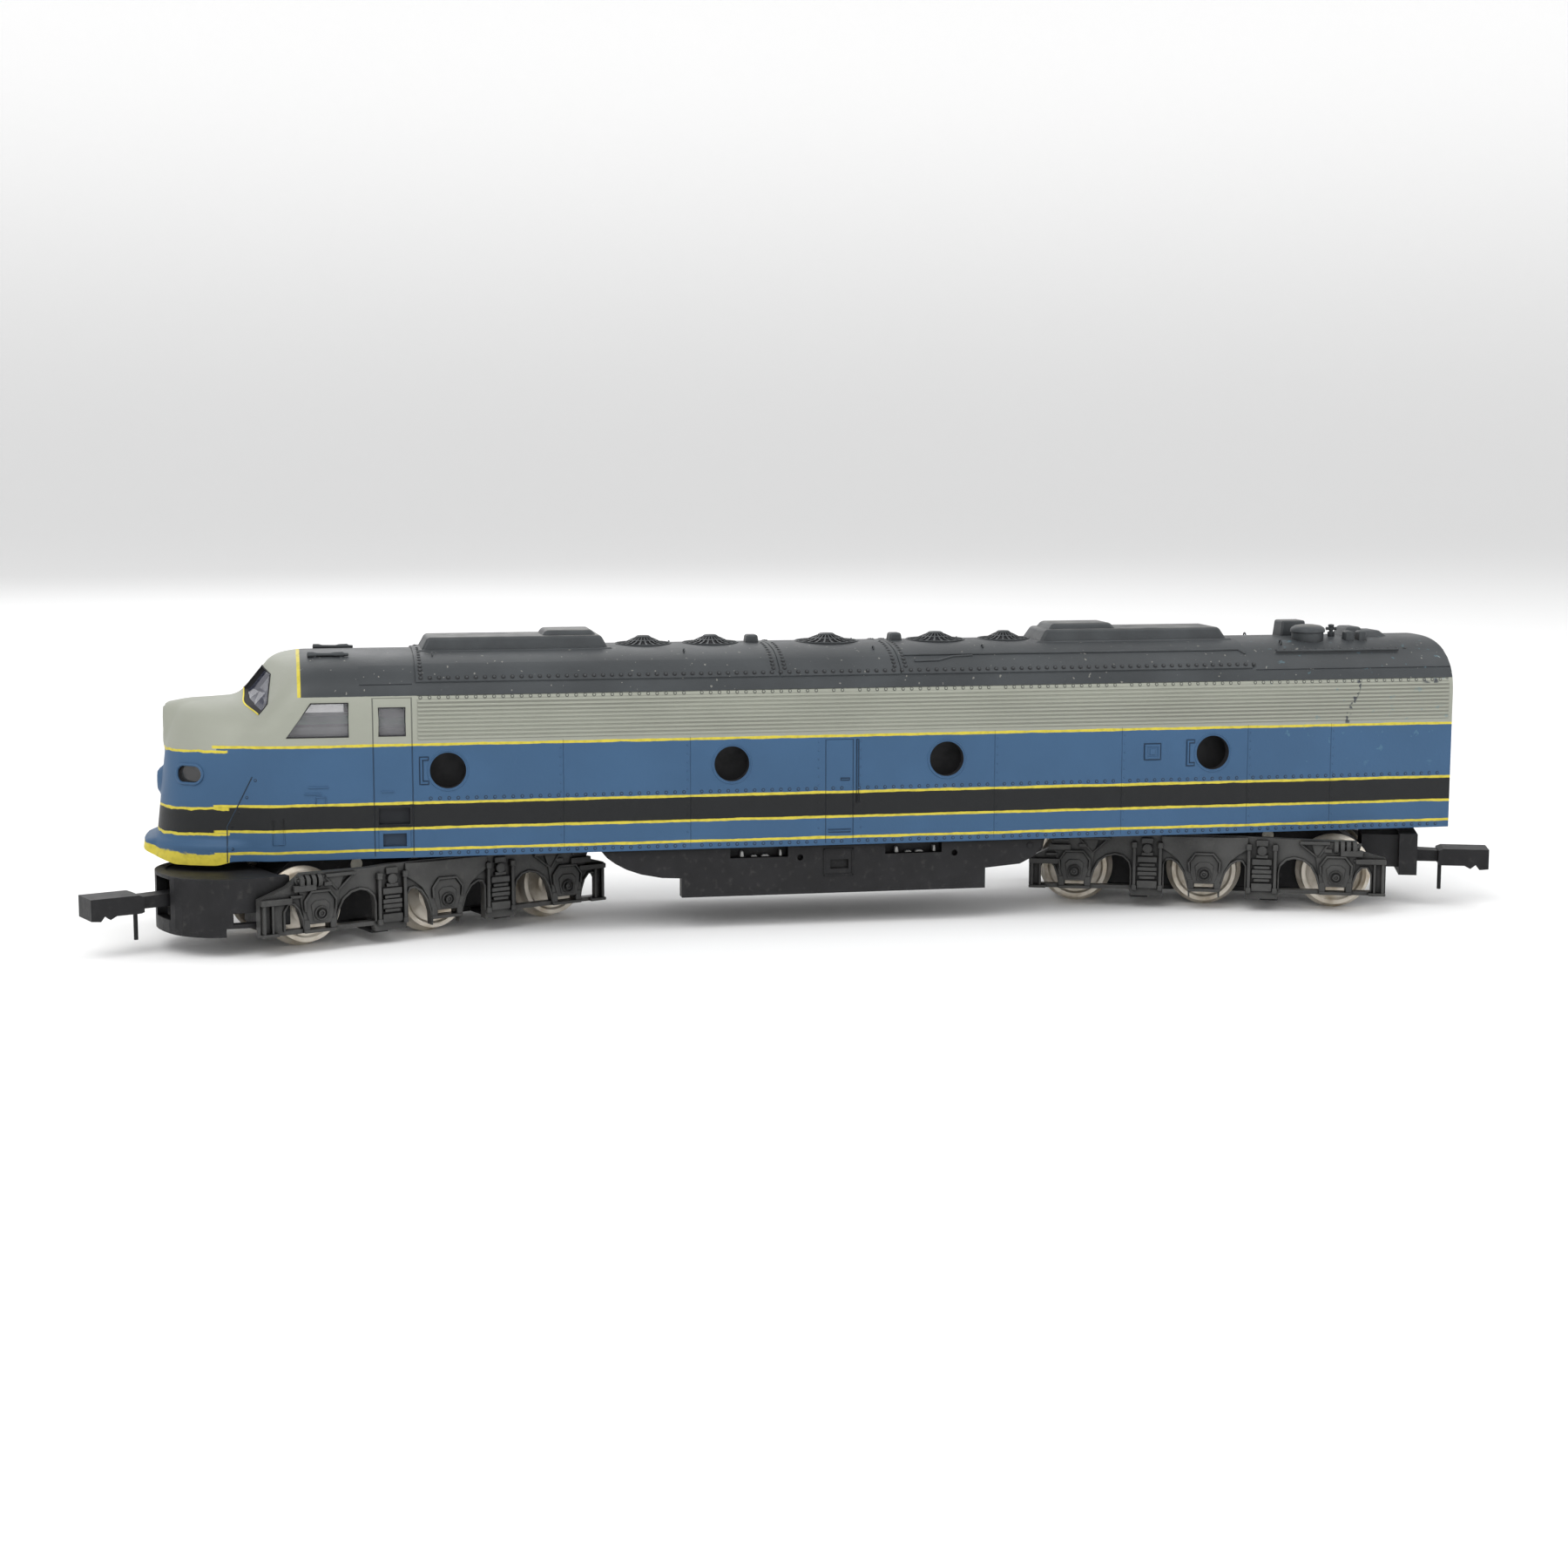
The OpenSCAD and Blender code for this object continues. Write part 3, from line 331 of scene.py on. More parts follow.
def metal(name, colour, roughness, tarnish, grain=(1, 1, 1), metallic=1.0):
    """Bare metal with tarnish in patches and a fine grain."""
    s = Shade(name, metallic=metallic)
    tone = s.mix(s.fade(s.noise(0.5, 5), 0.42, 0.72), colour, tarnish)
    rough = s.plus(roughness, s.times(s.noise(1.0, 4), 0.2))
    return s.finish(tone, rough, s.noise(5.0, 2, grain), 0.008)


def clear(name, colour, alpha, roughness):
    """Clear moulding, slightly hazy."""
    s = Shade(name)
    haze = s.fade(s.noise(0.5, 3), 0.3, 0.7)
    tone = s.mix(haze, colour, tuple(min(1, c * 1.25) for c in colour))
    s.shader.inputs["Alpha"].default_value = alpha
    s.shader.inputs["Coat Weight"].default_value = 0.6
    s.shader.inputs["Coat Roughness"].default_value = 0.04
    return s.finish(tone, s.plus(roughness, s.times(haze, 0.06)))


def make_materials():
    return {
        "paint": body_paint(),
        "roof": roof_black(),
        "inside": plastic("inside_black", PLASTIC, 0.6, 0.05),
        # the black moulding, truck, coupler and worn silver take painted shade in their corners
        "moulding": plastic("black_moulding", (0.011, 0.011, 0.012), 0.42, 0.06, corner_shade_mm=1.0),
        "truck": plastic("truck_moulding", (0.040, 0.040, 0.039), 0.3, 0.06, 0.03, 0.7),
        "coupler": plastic("coupler_moulding", (0.010, 0.010, 0.011), 0.42, 0.05, corner_shade_mm=1.0),
        "diecast": metal("diecast", (0.030, 0.030, 0.032), 0.55, (0.018, 0.018, 0.019), metallic=0.5),
        "nickel": metal("wheel_nickel", (0.62, 0.575, 0.50), 0.3, (0.36, 0.30, 0.22), (1, 4, 4), 0.6),
        "steel": metal("steel", (0.62, 0.62, 0.60), 0.24, (0.40, 0.39, 0.37)),
        "brass": metal("turned_brass", (0.76, 0.56, 0.26), 0.25, (0.45, 0.30, 0.13), (4, 1, 4)),
        "bronze": metal("spring_bronze", (0.62, 0.42, 0.22), 0.3, (0.36, 0.22, 0.11)),
        "copper": metal("winding", (0.55, 0.24, 0.12), 0.35, (0.3, 0.13, 0.07), (1, 9, 1)),
        "nylon": plastic("nylon", (0.62, 0.60, 0.52), 0.35, 0.05),
        "board": plastic("board_green", (0.03, 0.16, 0.07), 0.3, 0.05),
        "glass": clear("window_clear", (0.27, 0.27, 0.285), 0.3, 0.05),
        "screen": clear("screen_clear", (0.06, 0.065, 0.10), 0.45, 0.05),
        "lens": clear("lens_clear", (0.05, 0.05, 0.052), 0.5, 0.08),
        "bulb": clear("bulb_clear", (0.75, 0.72, 0.6), 0.6, 0.06),
        "line": plastic("seam_shadow", (0.02, 0.032, 0.048), 0.6, 0.0),
        "yellow": plastic("line_yellow", YELLOW, 0.4, 0.0),
        "chip": plastic("worn_silver", (0.26, 0.26, 0.25), 0.4, 0.0, corner_shade_mm=0.8),
    }


mat = make_materials()


# ---------------------------------------------------------------- the nose's smooth surface


def ramp(a, b, v):
    t = np.clip((v - a) / (b - a), 0, 1)
    return t * t * (3 - 2 * t)


def join(a, b, k):
    h = np.maximum(k - np.abs(a - b), 0) / k
    return np.minimum(a, b) - h * h * k / 4


def meet(a, b, k):
    return -join(-a, -b, k)


def superc(a, b, p):
    return (a ** p + b ** p) ** (1 / p)


def section_d(x, z):
    return (superc(np.abs(x) / HALF_W, np.maximum(0, z - SPRING_Z) / (ROOF_Z - SPRING_Z), ROOF_POW) - 1) * 8.5


def hood_d(x, y, z):
    face = FACE_TOP_Y - FACE_LEAN * (SPRING_Z - np.minimum(z, SPRING_Z))
    v = np.maximum(0, TAPER_Y - y) / (TAPER_Y - face)
    bead = 0.95 * ramp(10.1, 9.4, z) * ramp(-54, -57, y)
    plan = (superc(np.abs(x) / HALF_W, v, PLAN_POW) - 1) * HALF_W - bead
    w = HALF_W * np.maximum(0.2, 1 - (0.92 * v) ** PLAN_POW) ** (1 / PLAN_POW)
    top = HOOD_Z + 0.06 * (y + 56)
    arch = superc(np.abs(x) / w, np.maximum(0, z - HOOD_SPRING) / (top - HOOD_SPRING), 2.6) - 1
    return meet(plan, arch * np.minimum(w, 7), 2.4)


def cab_d(x, y, z):
    screen = -54.7 + 0.82 * (np.maximum(z, 20) - 23.4) + 0.43 * (np.sqrt(x * x + 0.36) - 0.6)
    return meet(section_d(x, z), (screen - y) * 0.72, 1.6)


def light_d(x, y, z, centre, r, front):
    return meet(np.hypot(x, z - centre) - r, front - y, 0.5)


def skin(x, y, z):
    body = join(hood_d(x, y, z), cab_d(x, y, z), 1)
    body = join(body, light_d(x, y, z, LIGHT_Z, 1.95, -62.1), 0.9)
    body = join(body, light_d(x, y, z, LOW_LIGHT_Z, 1.1, -63), 0.5)
    return np.maximum(section_d(x, z), body)


def cast(origin, direction, inset=0.0, reach=24.0):
    """Where rays leave the skin moved inward by inset. Both arguments are arrays of points."""
    origin, direction = np.broadcast_arrays(np.asarray(origin, float), np.asarray(direction, float))
    low, high = np.zeros(origin.shape[:-1]), np.full(origin.shape[:-1], reach)
    for _ in range(30):
        middle = (low + high) / 2
        p = origin + direction * middle[..., None]
        inside = skin(p[..., 0], p[..., 1], p[..., 2]) + inset < 0
        low, high = np.where(inside, middle, low), np.where(inside, high, middle)
    return origin + direction * low[..., None]


def on_side(y, z, side=1, proud=0.0):
    """Point of the outer skin beside (y, z)."""
    x = cast((0, y, z), (side, 0, 0))[0]
    return (x + side * proud, y, z)


def on_face(x, z, proud=0.0):
    """Point of the outer skin in front of (x, z)."""
    y = cast((x, -48.0, z), (0, -1, 0))[1]
    return (x, y - proud, z)


# ---------------------------------------------------------------- building pieces


def show(made):
    bpy.context.scene.collection.objects.link(made)


def new_object(name, build, *materials):
    """Object of a builder's mesh, in the scene, with its materials."""
    made = bpy.data.objects.new(name, build.mesh(name))
    show(made)
    for material in materials:
        made.data.materials.append(mat[material])
    return made


def circle(steps):
    """Evenly spaced angles, once round."""
    return [2 * math.pi * k / steps for k in range(steps)]


def between(first, second, steps):
    """Points from first towards second, which is left out."""
    return [[a + (b - a) * k / steps for a, b in zip(first, second)] for k in range(steps)]


class Builder:
    """Collects vertices in millimetres and makes one piece of them."""

    def __init__(self):
        self.points, self.faces, self.relief = [], [], []

    def add(self, points, faces, relief=None):
        start = len(self.points)
        self.points += [tuple(p) for p in points]
        self.relief += relief or [0.0] * len(points)
        self.faces += [[i + start for i in f] for f in faces]

    def prism(self, outline, low, high, axis):
        """Solid of an outline in the two other axes' order (x: y z, y: x z, z: x y)."""
        n = len(outline)
        order = {"x": (2, 0, 1), "y": (0, 2, 1), "z": (0, 1, 2)}[axis]
        points = [tuple((a, b, c)[i] for i in order) for c in (low, high) for a, b in outline]
        faces = [list(range(n))[::-1], list(range(n, 2 * n))]
        faces += [[i, (i + 1) % n, n + (i + 1) % n, n + i] for i in range(n)]
        self.add(points, faces)

    def box(self, x0, x1, y0, y1, z0, z1):
        self.prism([(x0, y0), (x1, y0), (x1, y1), (x0, y1)], z0, z1, "z")

    def ring(self, rings, closed=True, caps=True, relief=None):
        """Skin over equal rings of points, in order; relief is one value a ring."""
        n = len(rings[0])
        points = [p for ring in rings for p in ring]
        faces = []
        for j in range(len(rings) - 1):
            for i in range(n if closed else n - 1):
                k = (i + 1) % n
                faces.append([j * n + i, j * n + k, (j + 1) * n + k, (j + 1) * n + i])
        if caps:
            faces += [list(range(n))[::-1], list(range((len(rings) - 1) * n, len(rings) * n))]
        self.add(points, faces, [v for v in relief for _ in range(n)] if relief else None)

    def lathe(self, profile, centre, axis="z", steps=40, sign=1):
        """Solid of revolution of (radius, height) points about an axis through centre."""
        rings = []
        for r, h in profile:
            ring = []
            for a in circle(steps):
                u, v = r * math.cos(a), r * math.sin(a)
                offset = {"z": (u, v, h * sign), "x": (h * sign, u, v), "y": (u, h * sign, v)}[axis]
                ring.append(tuple(c + o for c, o in zip(centre, offset)))
            rings.append(ring)
        self.ring(rings)

    def rivet(self, point, normal, r=0.115, h=0.075, steps=8):
        """Low dome on a surface, with its foot marked sunk so that the paint darkens it as painted shadow and
        grime.
        """
        n = Vector(normal).normalized()
        u = n.orthogonal().normalized()
        v = n.cross(u)
        c = Vector(point) - n * 0.03
        rings = []
        for share, up in ((1.7, -0.3), (1.6, 0.1), (0.98, 0.2), (0.8, 0.65), (0.4, 0.95)):
            rings.append([c + n * (0.03 + h * up) + (u * math.cos(a) + v * math.sin(a)) * r * share
                          for a in circle(steps)])
        # the sunk foot gets painted shadow and grime from the paint
        self.ring(rings, relief=[-0.1, -0.1, -0.07, 0, 0])

    def mesh(self, name):
        made = bpy.data.meshes.new(name)
        made.from_pydata([tuple(c * MM for c in p) for p in self.points], [], self.faces)
        if any(self.relief):
            made.attributes.new("relief", "FLOAT", "POINT").data.foreach_set("value", self.relief)
        made.validate()
        work = bmesh.new()
        work.from_mesh(made)
        bmesh.ops.recalc_face_normals(work, faces=work.faces)
        work.to_mesh(made)
        work.free()
        return made

    def piece(self, name, material, body="chassis", slot="body_paint", bevel=0.0, smooth=38, segments=2):
        return dress(new_object(name, self, material), body, bevel, smooth, segments)


def dress(made, body, bevel=0.0, smooth=38, segments=2):
    """Bevels and smooths a piece, and puts it on its body."""
    if bevel:
        add_bevel(made, bevel, segments)
    smooth_by_angle(made, smooth)
    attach(made, body)
    return made


def add_bevel(made, width, segments=2, angle=32):
    bevel = made.modifiers.new("edge", "BEVEL")
    bevel.width = width * MM
    bevel.segments = segments
    bevel.limit_method = "ANGLE"
    bevel.angle_limit = math.radians(angle)
    bevel.use_clamp_overlap = True
    bevel.harden_normals = False


def smooth_by_angle(made, degrees):
    made.data.shade_smooth()
    made.data.set_sharp_from_angle(angle=math.radians(degrees))


def tube(name, paths, radius, material, body="chassis", slot="body_paint", closed=False, steps=8):
    """Thin round line along each path, as one piece."""
    b = Builder()
    for path in paths:
        points = [Vector(p) for p in path]
        count = len(points)
        rings = []
        for i, p in enumerate(points):
            before = points[i - 1] if i or closed else p
            after = points[(i + 1) % count] if i < count - 1 or closed else p
            along = (after - before).normalized()
            u = along.cross(Vector((0.31, 0.17, 0.93))).normalized()
            v = along.cross(u)
            rings.append([p + (u * math.cos(a) + v * math.sin(a)) * radius for a in circle(steps)])
        if closed:
            rings.append(rings[0])
        b.ring(rings, caps=not closed)
    return b.piece(name, material, body, slot, smooth=60)


# ---------------------------------------------------------------- body moulding


def arch_t(z):
    return math.asin(min(1, (z - SPRING_Z) / (ROOF_Z - SPRING_Z)) ** (ROOF_POW / 2))


def section_point(t, inset=0.0):
    """Point and outward normal of the roof arch at parameter t, from 0 at the side to pi / 2."""
    a, b, q = HALF_W, ROOF_Z - SPRING_Z, 2 / ROOF_POW
    x, z = a * math.cos(t) ** q, b * math.sin(t) ** q
    nx, nz = (x / a) ** (ROOF_POW - 1) / a, (z / b) ** (ROOF_POW - 1) / b
    size = math.hypot(nx, nz)
    return x - inset * nx / size, SPRING_Z + z - inset * nz / size, nx / size, nz / size


def relief_features():
    """Raised and sunk rectangles of the side and roof: y0, y1, z0, z1 and height. Later ones win."""
    found = [(PANEL_Y[0], PANEL_Y[1], PANEL_Z, 40, 0.16)]
    y0, y1, z0, pitch, count = GRILLE
    for k in range(count):
        found.append((y0, y1, z0 + k * pitch, z0 + k * pitch + 0.26, 0.09))
    found.append((y0, REAR_Y - 0.4, 23.25, 23.36, -0.05))
    for y in SEAMS:
        found.append((y - 0.06, y + 0.06, 8.2, 18.95, -0.035))
    for y in DOOR:
        found.append((y - 0.08, y + 0.08, 8.2, 23.2, -0.045))
    found.append((DOOR[0] - 0.1, DOOR[1] + 0.1, 23.08, 23.2, -0.04))
    # two steps below the door, and its two hand grips
    found += [(-42.45, -39.55, 11.25, 12.8, -0.5), (-42.5, -39.5, 8.75, 10.75, 0.1),
              (-42.1, -39.9, 9.15, 10.4, -0.25), (-42.5, -39.5, 10.95, 11.15, 0.1)]
    # centre door with its hinge strip
    found += [(0.3, 0.44, 8.2, 18.4, -0.045), (3.02, 3.16, 8.2, 18.4, -0.045),
              (0.3, 3.16, 18.3, 18.42, -0.045), (3.35, 3.71, 12.1, 18.4, -0.05),
              (1.8, 2.8, 14.3, 14.65, -0.05),
              (3.47, 3.59, 12.2, 18.3, 0.08), (0.6, 2.9, 9.2, 9.65, -0.04), (0.6, 2.9, 9.35, 9.5, 0.09),
              (1.9, 2.7, 14.4, 14.52, 0.08)]
    # hinge brackets beside the end openings, and the square filler
    for y in (-38.55, 37.1):
        found += [(y - 0.12, y + 0.87, 14.88, 17.62, -0.05), (y + 0.3, y + 0.87, 15.3, 17.2, 0),
                  (y, y + 0.22, 15, 17.5, 0.1), (y, y + 0.75, 17.28, 17.5, 0.1),
                  (y, y + 0.75, 15, 15.22, 0.1)]
    found += [(32.57, 34.43, 15.57, 17.33, -0.05), (32.7, 34.3, 15.7, 17.2, 0.1),
              (32.92, 34.08, 15.92, 16.98, 0.02), (33.2, 33.8, 16.15, 16.75, 0.1)]
    # seams across the roof panel and along the plain roof
    for y in PANEL_BANDS:
        found.append((y - 0.07, y + 0.07, PANEL_Z, 40, 0.07))
    found.append((-49.1, PANEL_Y[0] - 0.3, 24.3, 24.42, -0.06))
    found.append((PANEL_Y[1] + 0.3, REAR_Y, 24.3, 24.42, -0.06))
    return found


FEATURES = relief_features()
SLOPE = 0.045


def relief(y, z):
    """Height of the surface at grid lines y and z, as a table."""
    out = np.zeros((len(y), len(z)))
    for y0, y1, z0, z1, height in FEATURES:
        ys = (y > y0 + SLOPE / 2) & (y < y1 - SLOPE / 2)
        zs = (z > z0 + SLOPE / 2) & (z < z1 - SLOPE / 2)
        out[np.ix_(ys, zs)] = height
    return out


def grid_lines(edges, low, high, step):
    """Sorted lines from low to high: a pair at each feature's edge, and no gap above step."""
    lines = {low, high}
    for start, end in edges:
        for line in (start, start + SLOPE, end - SLOPE, end):
            if low < line < high:
                lines.add(round(line, 4))
    lines = sorted(lines)
    out = [lines[0]]
    for a, b in zip(lines, lines[1:]):
        parts = max(1, math.ceil((b - a) / step))
        out += [a + (b - a) * k / parts for k in range(1, parts + 1)]
    return np.array(out)


def long_moulding():
    """Body behind the cab: its relief grid outside, plain walls inside, closed at the rear."""
    ys = grid_lines([(f[0], f[1]) for f in FEATURES], SEAL_Y, REAR_Y, 2.5)
    zs = grid_lines([(f[2], min(f[3], 26)) for f in FEATURES], SIDE_Z, 26.0, 0.8)
    low = [z for z in zs if z <= SPRING_Z]
    crown = arch_t(26.0)
    ts = sorted({round(arch_t(z), 5) for z in zs if z > SPRING_Z} | {
        crown + k * (math.pi / 2 - crown) / 14 for k in range(1, 15)})
    half = [(HALF_W, z, 1.0, 0.0) for z in low] + [section_point(t) for t in ts]
    height = np.array([p[1] for p in half])
    up = relief(ys, height)
    n = 2 * len(half) - 1
    outer, inner, heights = [], [], []
    around = [(i, 1) for i in range(len(half))] + [(i, -1) for i in range(len(half) - 2, -1, -1)]
    for j, y in enumerate(ys):
        for i, side in around:
            x, z, nx, nz = half[i]
            outer.append((side * (x + nx * up[j, i]), y, z + nz * up[j, i]))
            inner.append((side * (x - nx * WALL), min(y, REAR_Y - WALL), z - nz * WALL))
            heights.append(up[j, i])
    rows = len(ys)
    last_inner = max(j for j in range(rows) if ys[j] < REAR_Y - WALL)
    b = Builder()
    base = len(outer)
    faces = [[j * n + i, j * n + i + 1, (j + 1) * n + i + 1, (j + 1) * n + i]
             for j in range(rows - 1) for i in range(n - 1)]
    inner = inner[: (last_inner + 1) * n] + [(p[0], REAR_Y - WALL, p[2]) for p in inner[-n:]]
    inner_rows = last_inner + 2
    faces += [[base + k for k in (j * n + i, (j + 1) * n + i, (j + 1) * n + i + 1, j * n + i + 1)]
              for j in range(inner_rows - 1) for i in range(n - 1)]
    faces += [[i, i + 1, base + i + 1, base + i] for i in range(n - 1)]
    for edge in (0, n - 1):
        for j in range(last_inner):
            faces.append([j * n + edge, (j + 1) * n + edge, base + (j + 1) * n + edge, base + j * n + edge])
        tail = [j * n + edge for j in range(last_inner, rows)]
        faces.append(tail + [base + (inner_rows - 1) * n + edge, base + last_inner * n + edge])
    faces.append([(rows - 1) * n + i for i in range(n)])
    faces.append([base + (inner_rows - 1) * n + i for i in range(n)])
    # the rear wall's lower edge
    faces.append([(rows - 1) * n, (rows - 1) * n + n - 1, base + (inner_rows - 1) * n + n - 1,
                  base + (inner_rows - 1) * n])
    b.add(outer + inner, faces)
    return b, heights + [0.0] * len(inner)


# height of the nose's lower edge by the distance along the body
LIP = ((-64.8, 8.75), (-63, 8.15), (-61.3, 7.7), (-57.4, 7.7), (-56, SIDE_Z))


def nose_grid(inset, columns=170, low_rows=34, arch_rows=96):
    """Rows of skin points: up the sides, then over to the crest."""
    az = np.linspace(0, math.pi, columns + 1)
    flat = np.stack([np.cos(az), -np.sin(az), np.zeros_like(az)], -1)
    at = lambda z: np.stack([np.zeros_like(az), np.full_like(az, SEAL_Y), z], -1)
    reach = cast(at(np.full_like(az, SIDE_Z)), flat)[:, 1]
    floor = np.interp(reach, *zip(*LIP))
    rows = []
    for j in range(low_rows):
        rows.append(cast(at(floor + (15 - floor) * j / low_rows), flat, inset))
    for j in range(arch_rows):
        el = math.pi / 2 * j / arch_rows
        way = flat * math.cos(el) + np.array([0, 0, math.sin(el)])
        rows.append(cast(at(np.full_like(az, 15.0)), way, inset))
    crest = cast((0, SEAL_Y, 15.0), (0, 0, 1), inset)
    return np.array(rows), crest


def nose_moulding():
    """Nose and cab shell: two skins joined round their edge."""
    outer, top = nose_grid(0)
    inner, inner_top = nose_grid(WALL)
    rows, n = outer.shape[:2]
    points = [*outer.reshape(-1, 3), top, *inner.reshape(-1, 3), inner_top]
    base = rows * n + 1
    faces = []
    for start, flip in ((0, False), (base, True)):
        for j in range(rows - 1):
            for i in range(n - 1):
                f = [start + k for k in (j * n + i, j * n + i + 1, (j + 1) * n + i + 1, (j + 1) * n + i)]
                faces.append(f[::-1] if flip else f)
        for i in range(n - 1):
            f = [start + (rows - 1) * n + i, start + (rows - 1) * n + i + 1, start + rows * n]
            faces.append(f[::-1] if flip else f)
    loop = [j * n for j in range(rows)] + [rows * n] + [j * n + n - 1 for j in range(rows - 1, -1, -1)]
    loop += range(n - 2, 0, -1)
    faces += [[a, b, b + base, a + base] for a, b in zip(loop, loop[1:] + loop[:1])]
    b = Builder()
    b.add([tuple(p) for p in points], faces)
    return b


CAB_WINDOW = [(-50.8, 19.6), (-45.1, 19.6), (-45.1, 22.75), (-48.5, 22.75)]
DOOR_WINDOW = [(-42.3, 19.6), (-39.85, 19.6), (-39.85, 22.25), (-42.3, 22.25)]
SCREEN = [(0.4, 23.5), (7.5, 21.65), (7.35, 22.6), (3.4, 25.05), (0.4, 25.6)]


def nose_light_outline(grow=0.0, steps=12):
    """Stadium outline of a nose light, as (along, up) round its centre."""
    r = 0.78 + grow
    out = []
    for side in (1, -1):
        for k in range(steps + 1):
            a = math.pi * (1 - side / 2 - k / steps)
            out.append((side * 0.62 + r * math.cos(a), r * math.sin(a)))
    return out


def light_frame(side):
    """Centre, outward, along and up directions of a nose light."""
    out = Vector((side * math.cos(math.pi / 4), -math.sin(math.pi / 4), 0))
    along = Vector((-out.y, out.x, 0))
    return Vector((side * 6.75, -59.9, 16.13)), out, along, Vector((0, 0, 1))


def cutter(build):
    """Object that cuts an opening, with the dark inside material on its faces."""
    made = new_object("cut", build, "paint", "inside")
    for face in made.data.polygons:
        face.material_index = 1
    return made


def cut(made, build):
    """Cuts a builder's solids out of a piece, at once and for good."""
    tool = cutter(build)
    change = made.modifiers.new("cut", "BOOLEAN")
    change.operation = "DIFFERENCE"
    change.solver = "EXACT"
    change.object = tool
    bpy.context.view_layer.update()
    graph = bpy.context.evaluated_depsgraph_get()
    result = bpy.data.meshes.new_from_object(made.evaluated_get(graph))
    made.modifiers.clear()
    made.data = result
    bpy.data.objects.remove(tool)


def body_moulding():
    build, heights = long_moulding()
    sides = new_object("body_sides_and_roof", build, "paint", "inside")
    layer = sides.data.attributes.new("relief", "FLOAT", "POINT")
    layer.data.foreach_set("value", np.array(heights, np.float32))
    mark_inside(sides)
    holes = Builder()
    for y in PORT_Y:
        holes.lathe([(PORT_R, -HALF_W - 2), (PORT_R, HALF_W + 2)], (0, y, PORT_Z), "x", 64)
    holes.prism(DOOR_WINDOW, -HALF_W - 2, HALF_W + 2, "x")
    cut(sides, holes)
    dress(sides, "chassis", smooth=32)
    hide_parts("body_shell")

    nose = new_object("nose_and_cab", nose_moulding(), "paint", "inside")
    mark_inside(nose)
    holes = Builder()
    holes.prism(CAB_WINDOW, -HALF_W - 2, HALF_W + 2, "x")
    holes.lathe([(1.3, -66), (1.3, -56)], (0, 0, LIGHT_Z), "y", 48)
    for side in (1, -1):
        holes.prism([(side * x, z) for x, z in SCREEN], -58, -50, "y")
        centre, out, along, up = light_frame(side)
        rings = [[centre + out * d + along * a + up * c for a, c in nose_light_outline()] for d in (-3, 2)]
        holes.ring(rings)
    cut(nose, holes)
    dress(nose, "chassis", smooth=40)
    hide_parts("body_shell")


def mark_inside(made):
    """Gives the wall's inner faces the dark material: those that look inward."""
    for face in made.data.polygons:
        c, n = face.center / MM, face.normal
        inward = skin(c.x, min(c.y, 0), c.z) < -0.5 * WALL
        rear = c.y > REAR_Y - 0.6
        if inward and not (rear and n.y > 0.9):
            face.material_index = 1


def body_rivets():
    """Rows of rivets on both sides and the roof."""
    b = Builder()
    for side in (1, -1):
        out = (side, 0, 0)
        rows = [(13.62, -37.6, 64.6), (8.42, -37.6, 64.6), (23.14, -38.4, 64.6)]
        for z, start, end in rows:
            count = int((end - start) / RIVET_PITCH)
            for k in range(count + 1):
                y = start + k * RIVET_PITCH
                if min(abs(y - p) for p in SEAMS + (0.37, 3.09)) > 0.3:
                    x, _, nx, nz = section_point(arch_t(z)) if z > SPRING_Z else (HALF_W, z, 1, 0)
                    b.rivet((side * x, y, z), (side * nx, 0, nz))
        for seam in SEAMS + (-0.05,):
            for k in range(12):
                z = 8.9 + k * 0.84
                if abs(z - 13.62) > 0.3:
                    b.rivet((side * (HALF_W - 0.02), seam + (0.28 if seam > 0 else -0.28), z), out, 0.1)
        for k in range(12):
            b.rivet((side * (HALF_W - 0.02), 3.85, 8.9 + k * 0.84), out, 0.1)
    return b.piece("side_rivets", "paint", smooth=60)


def roof_rivets():
    """Rivets along the raised roof panel's edge and across its bands."""
    b = Builder()

    def arch_rivet(y, t, side, lift):
        x, z, nx, nz = section_point(t, -lift)
        b.rivet((side * x, y, z), (side * nx, 0, nz), 0.135, 0.1)

    low = arch_t(PANEL_Z + 0.36)
    for side in (1, -1):
        for k in range(97):
            arch_rivet(PANEL_Y[0] + 0.5 + k * RIVET_PITCH, low, side, 0.16)
        for y in [PANEL_Y[0] + 0.5] + [p + d for p in PANEL_BANDS for d in (-0.55, 0.55)]:
            for k in range(1, 12):
                arch_rivet(y, low + (math.pi / 2 - low) * k * 0.082, side, 0.16)
        for k in range(17):
            arch_rivet(47.5 + k * RIVET_PITCH, arch_t(26.12), side, 0)
    return b.piece("roof_rivets", "roof", smooth=60)


# ---------------------------------------------------------------- small things on the body


NOSE_SEAM = [(-56.45, 8.0), (-56.4, 11.3), (-55.3, 13.4), (-54.0, 16.0)]


def nose_seam():
    """Joint of the nose plate: a thin dark line up each side, with its rivets."""
    paths = []
    b = Builder()
    for side in (1, -1):
        line = [p for pair in zip(NOSE_SEAM, NOSE_SEAM[1:]) for p in between(*pair, 8)] + [NOSE_SEAM[-1]]
        path = [on_side(*p, side) for p in line]
        paths.append(path)
        for p in path[3::5]:
            b.rivet(on_side(p[1] + 0.45, p[2], side), (side, -0.3, 0), 0.1)
    tube("nose_plate_seam", paths, 0.055, "line")
    b.piece("nose_rivets", "paint", smooth=60)


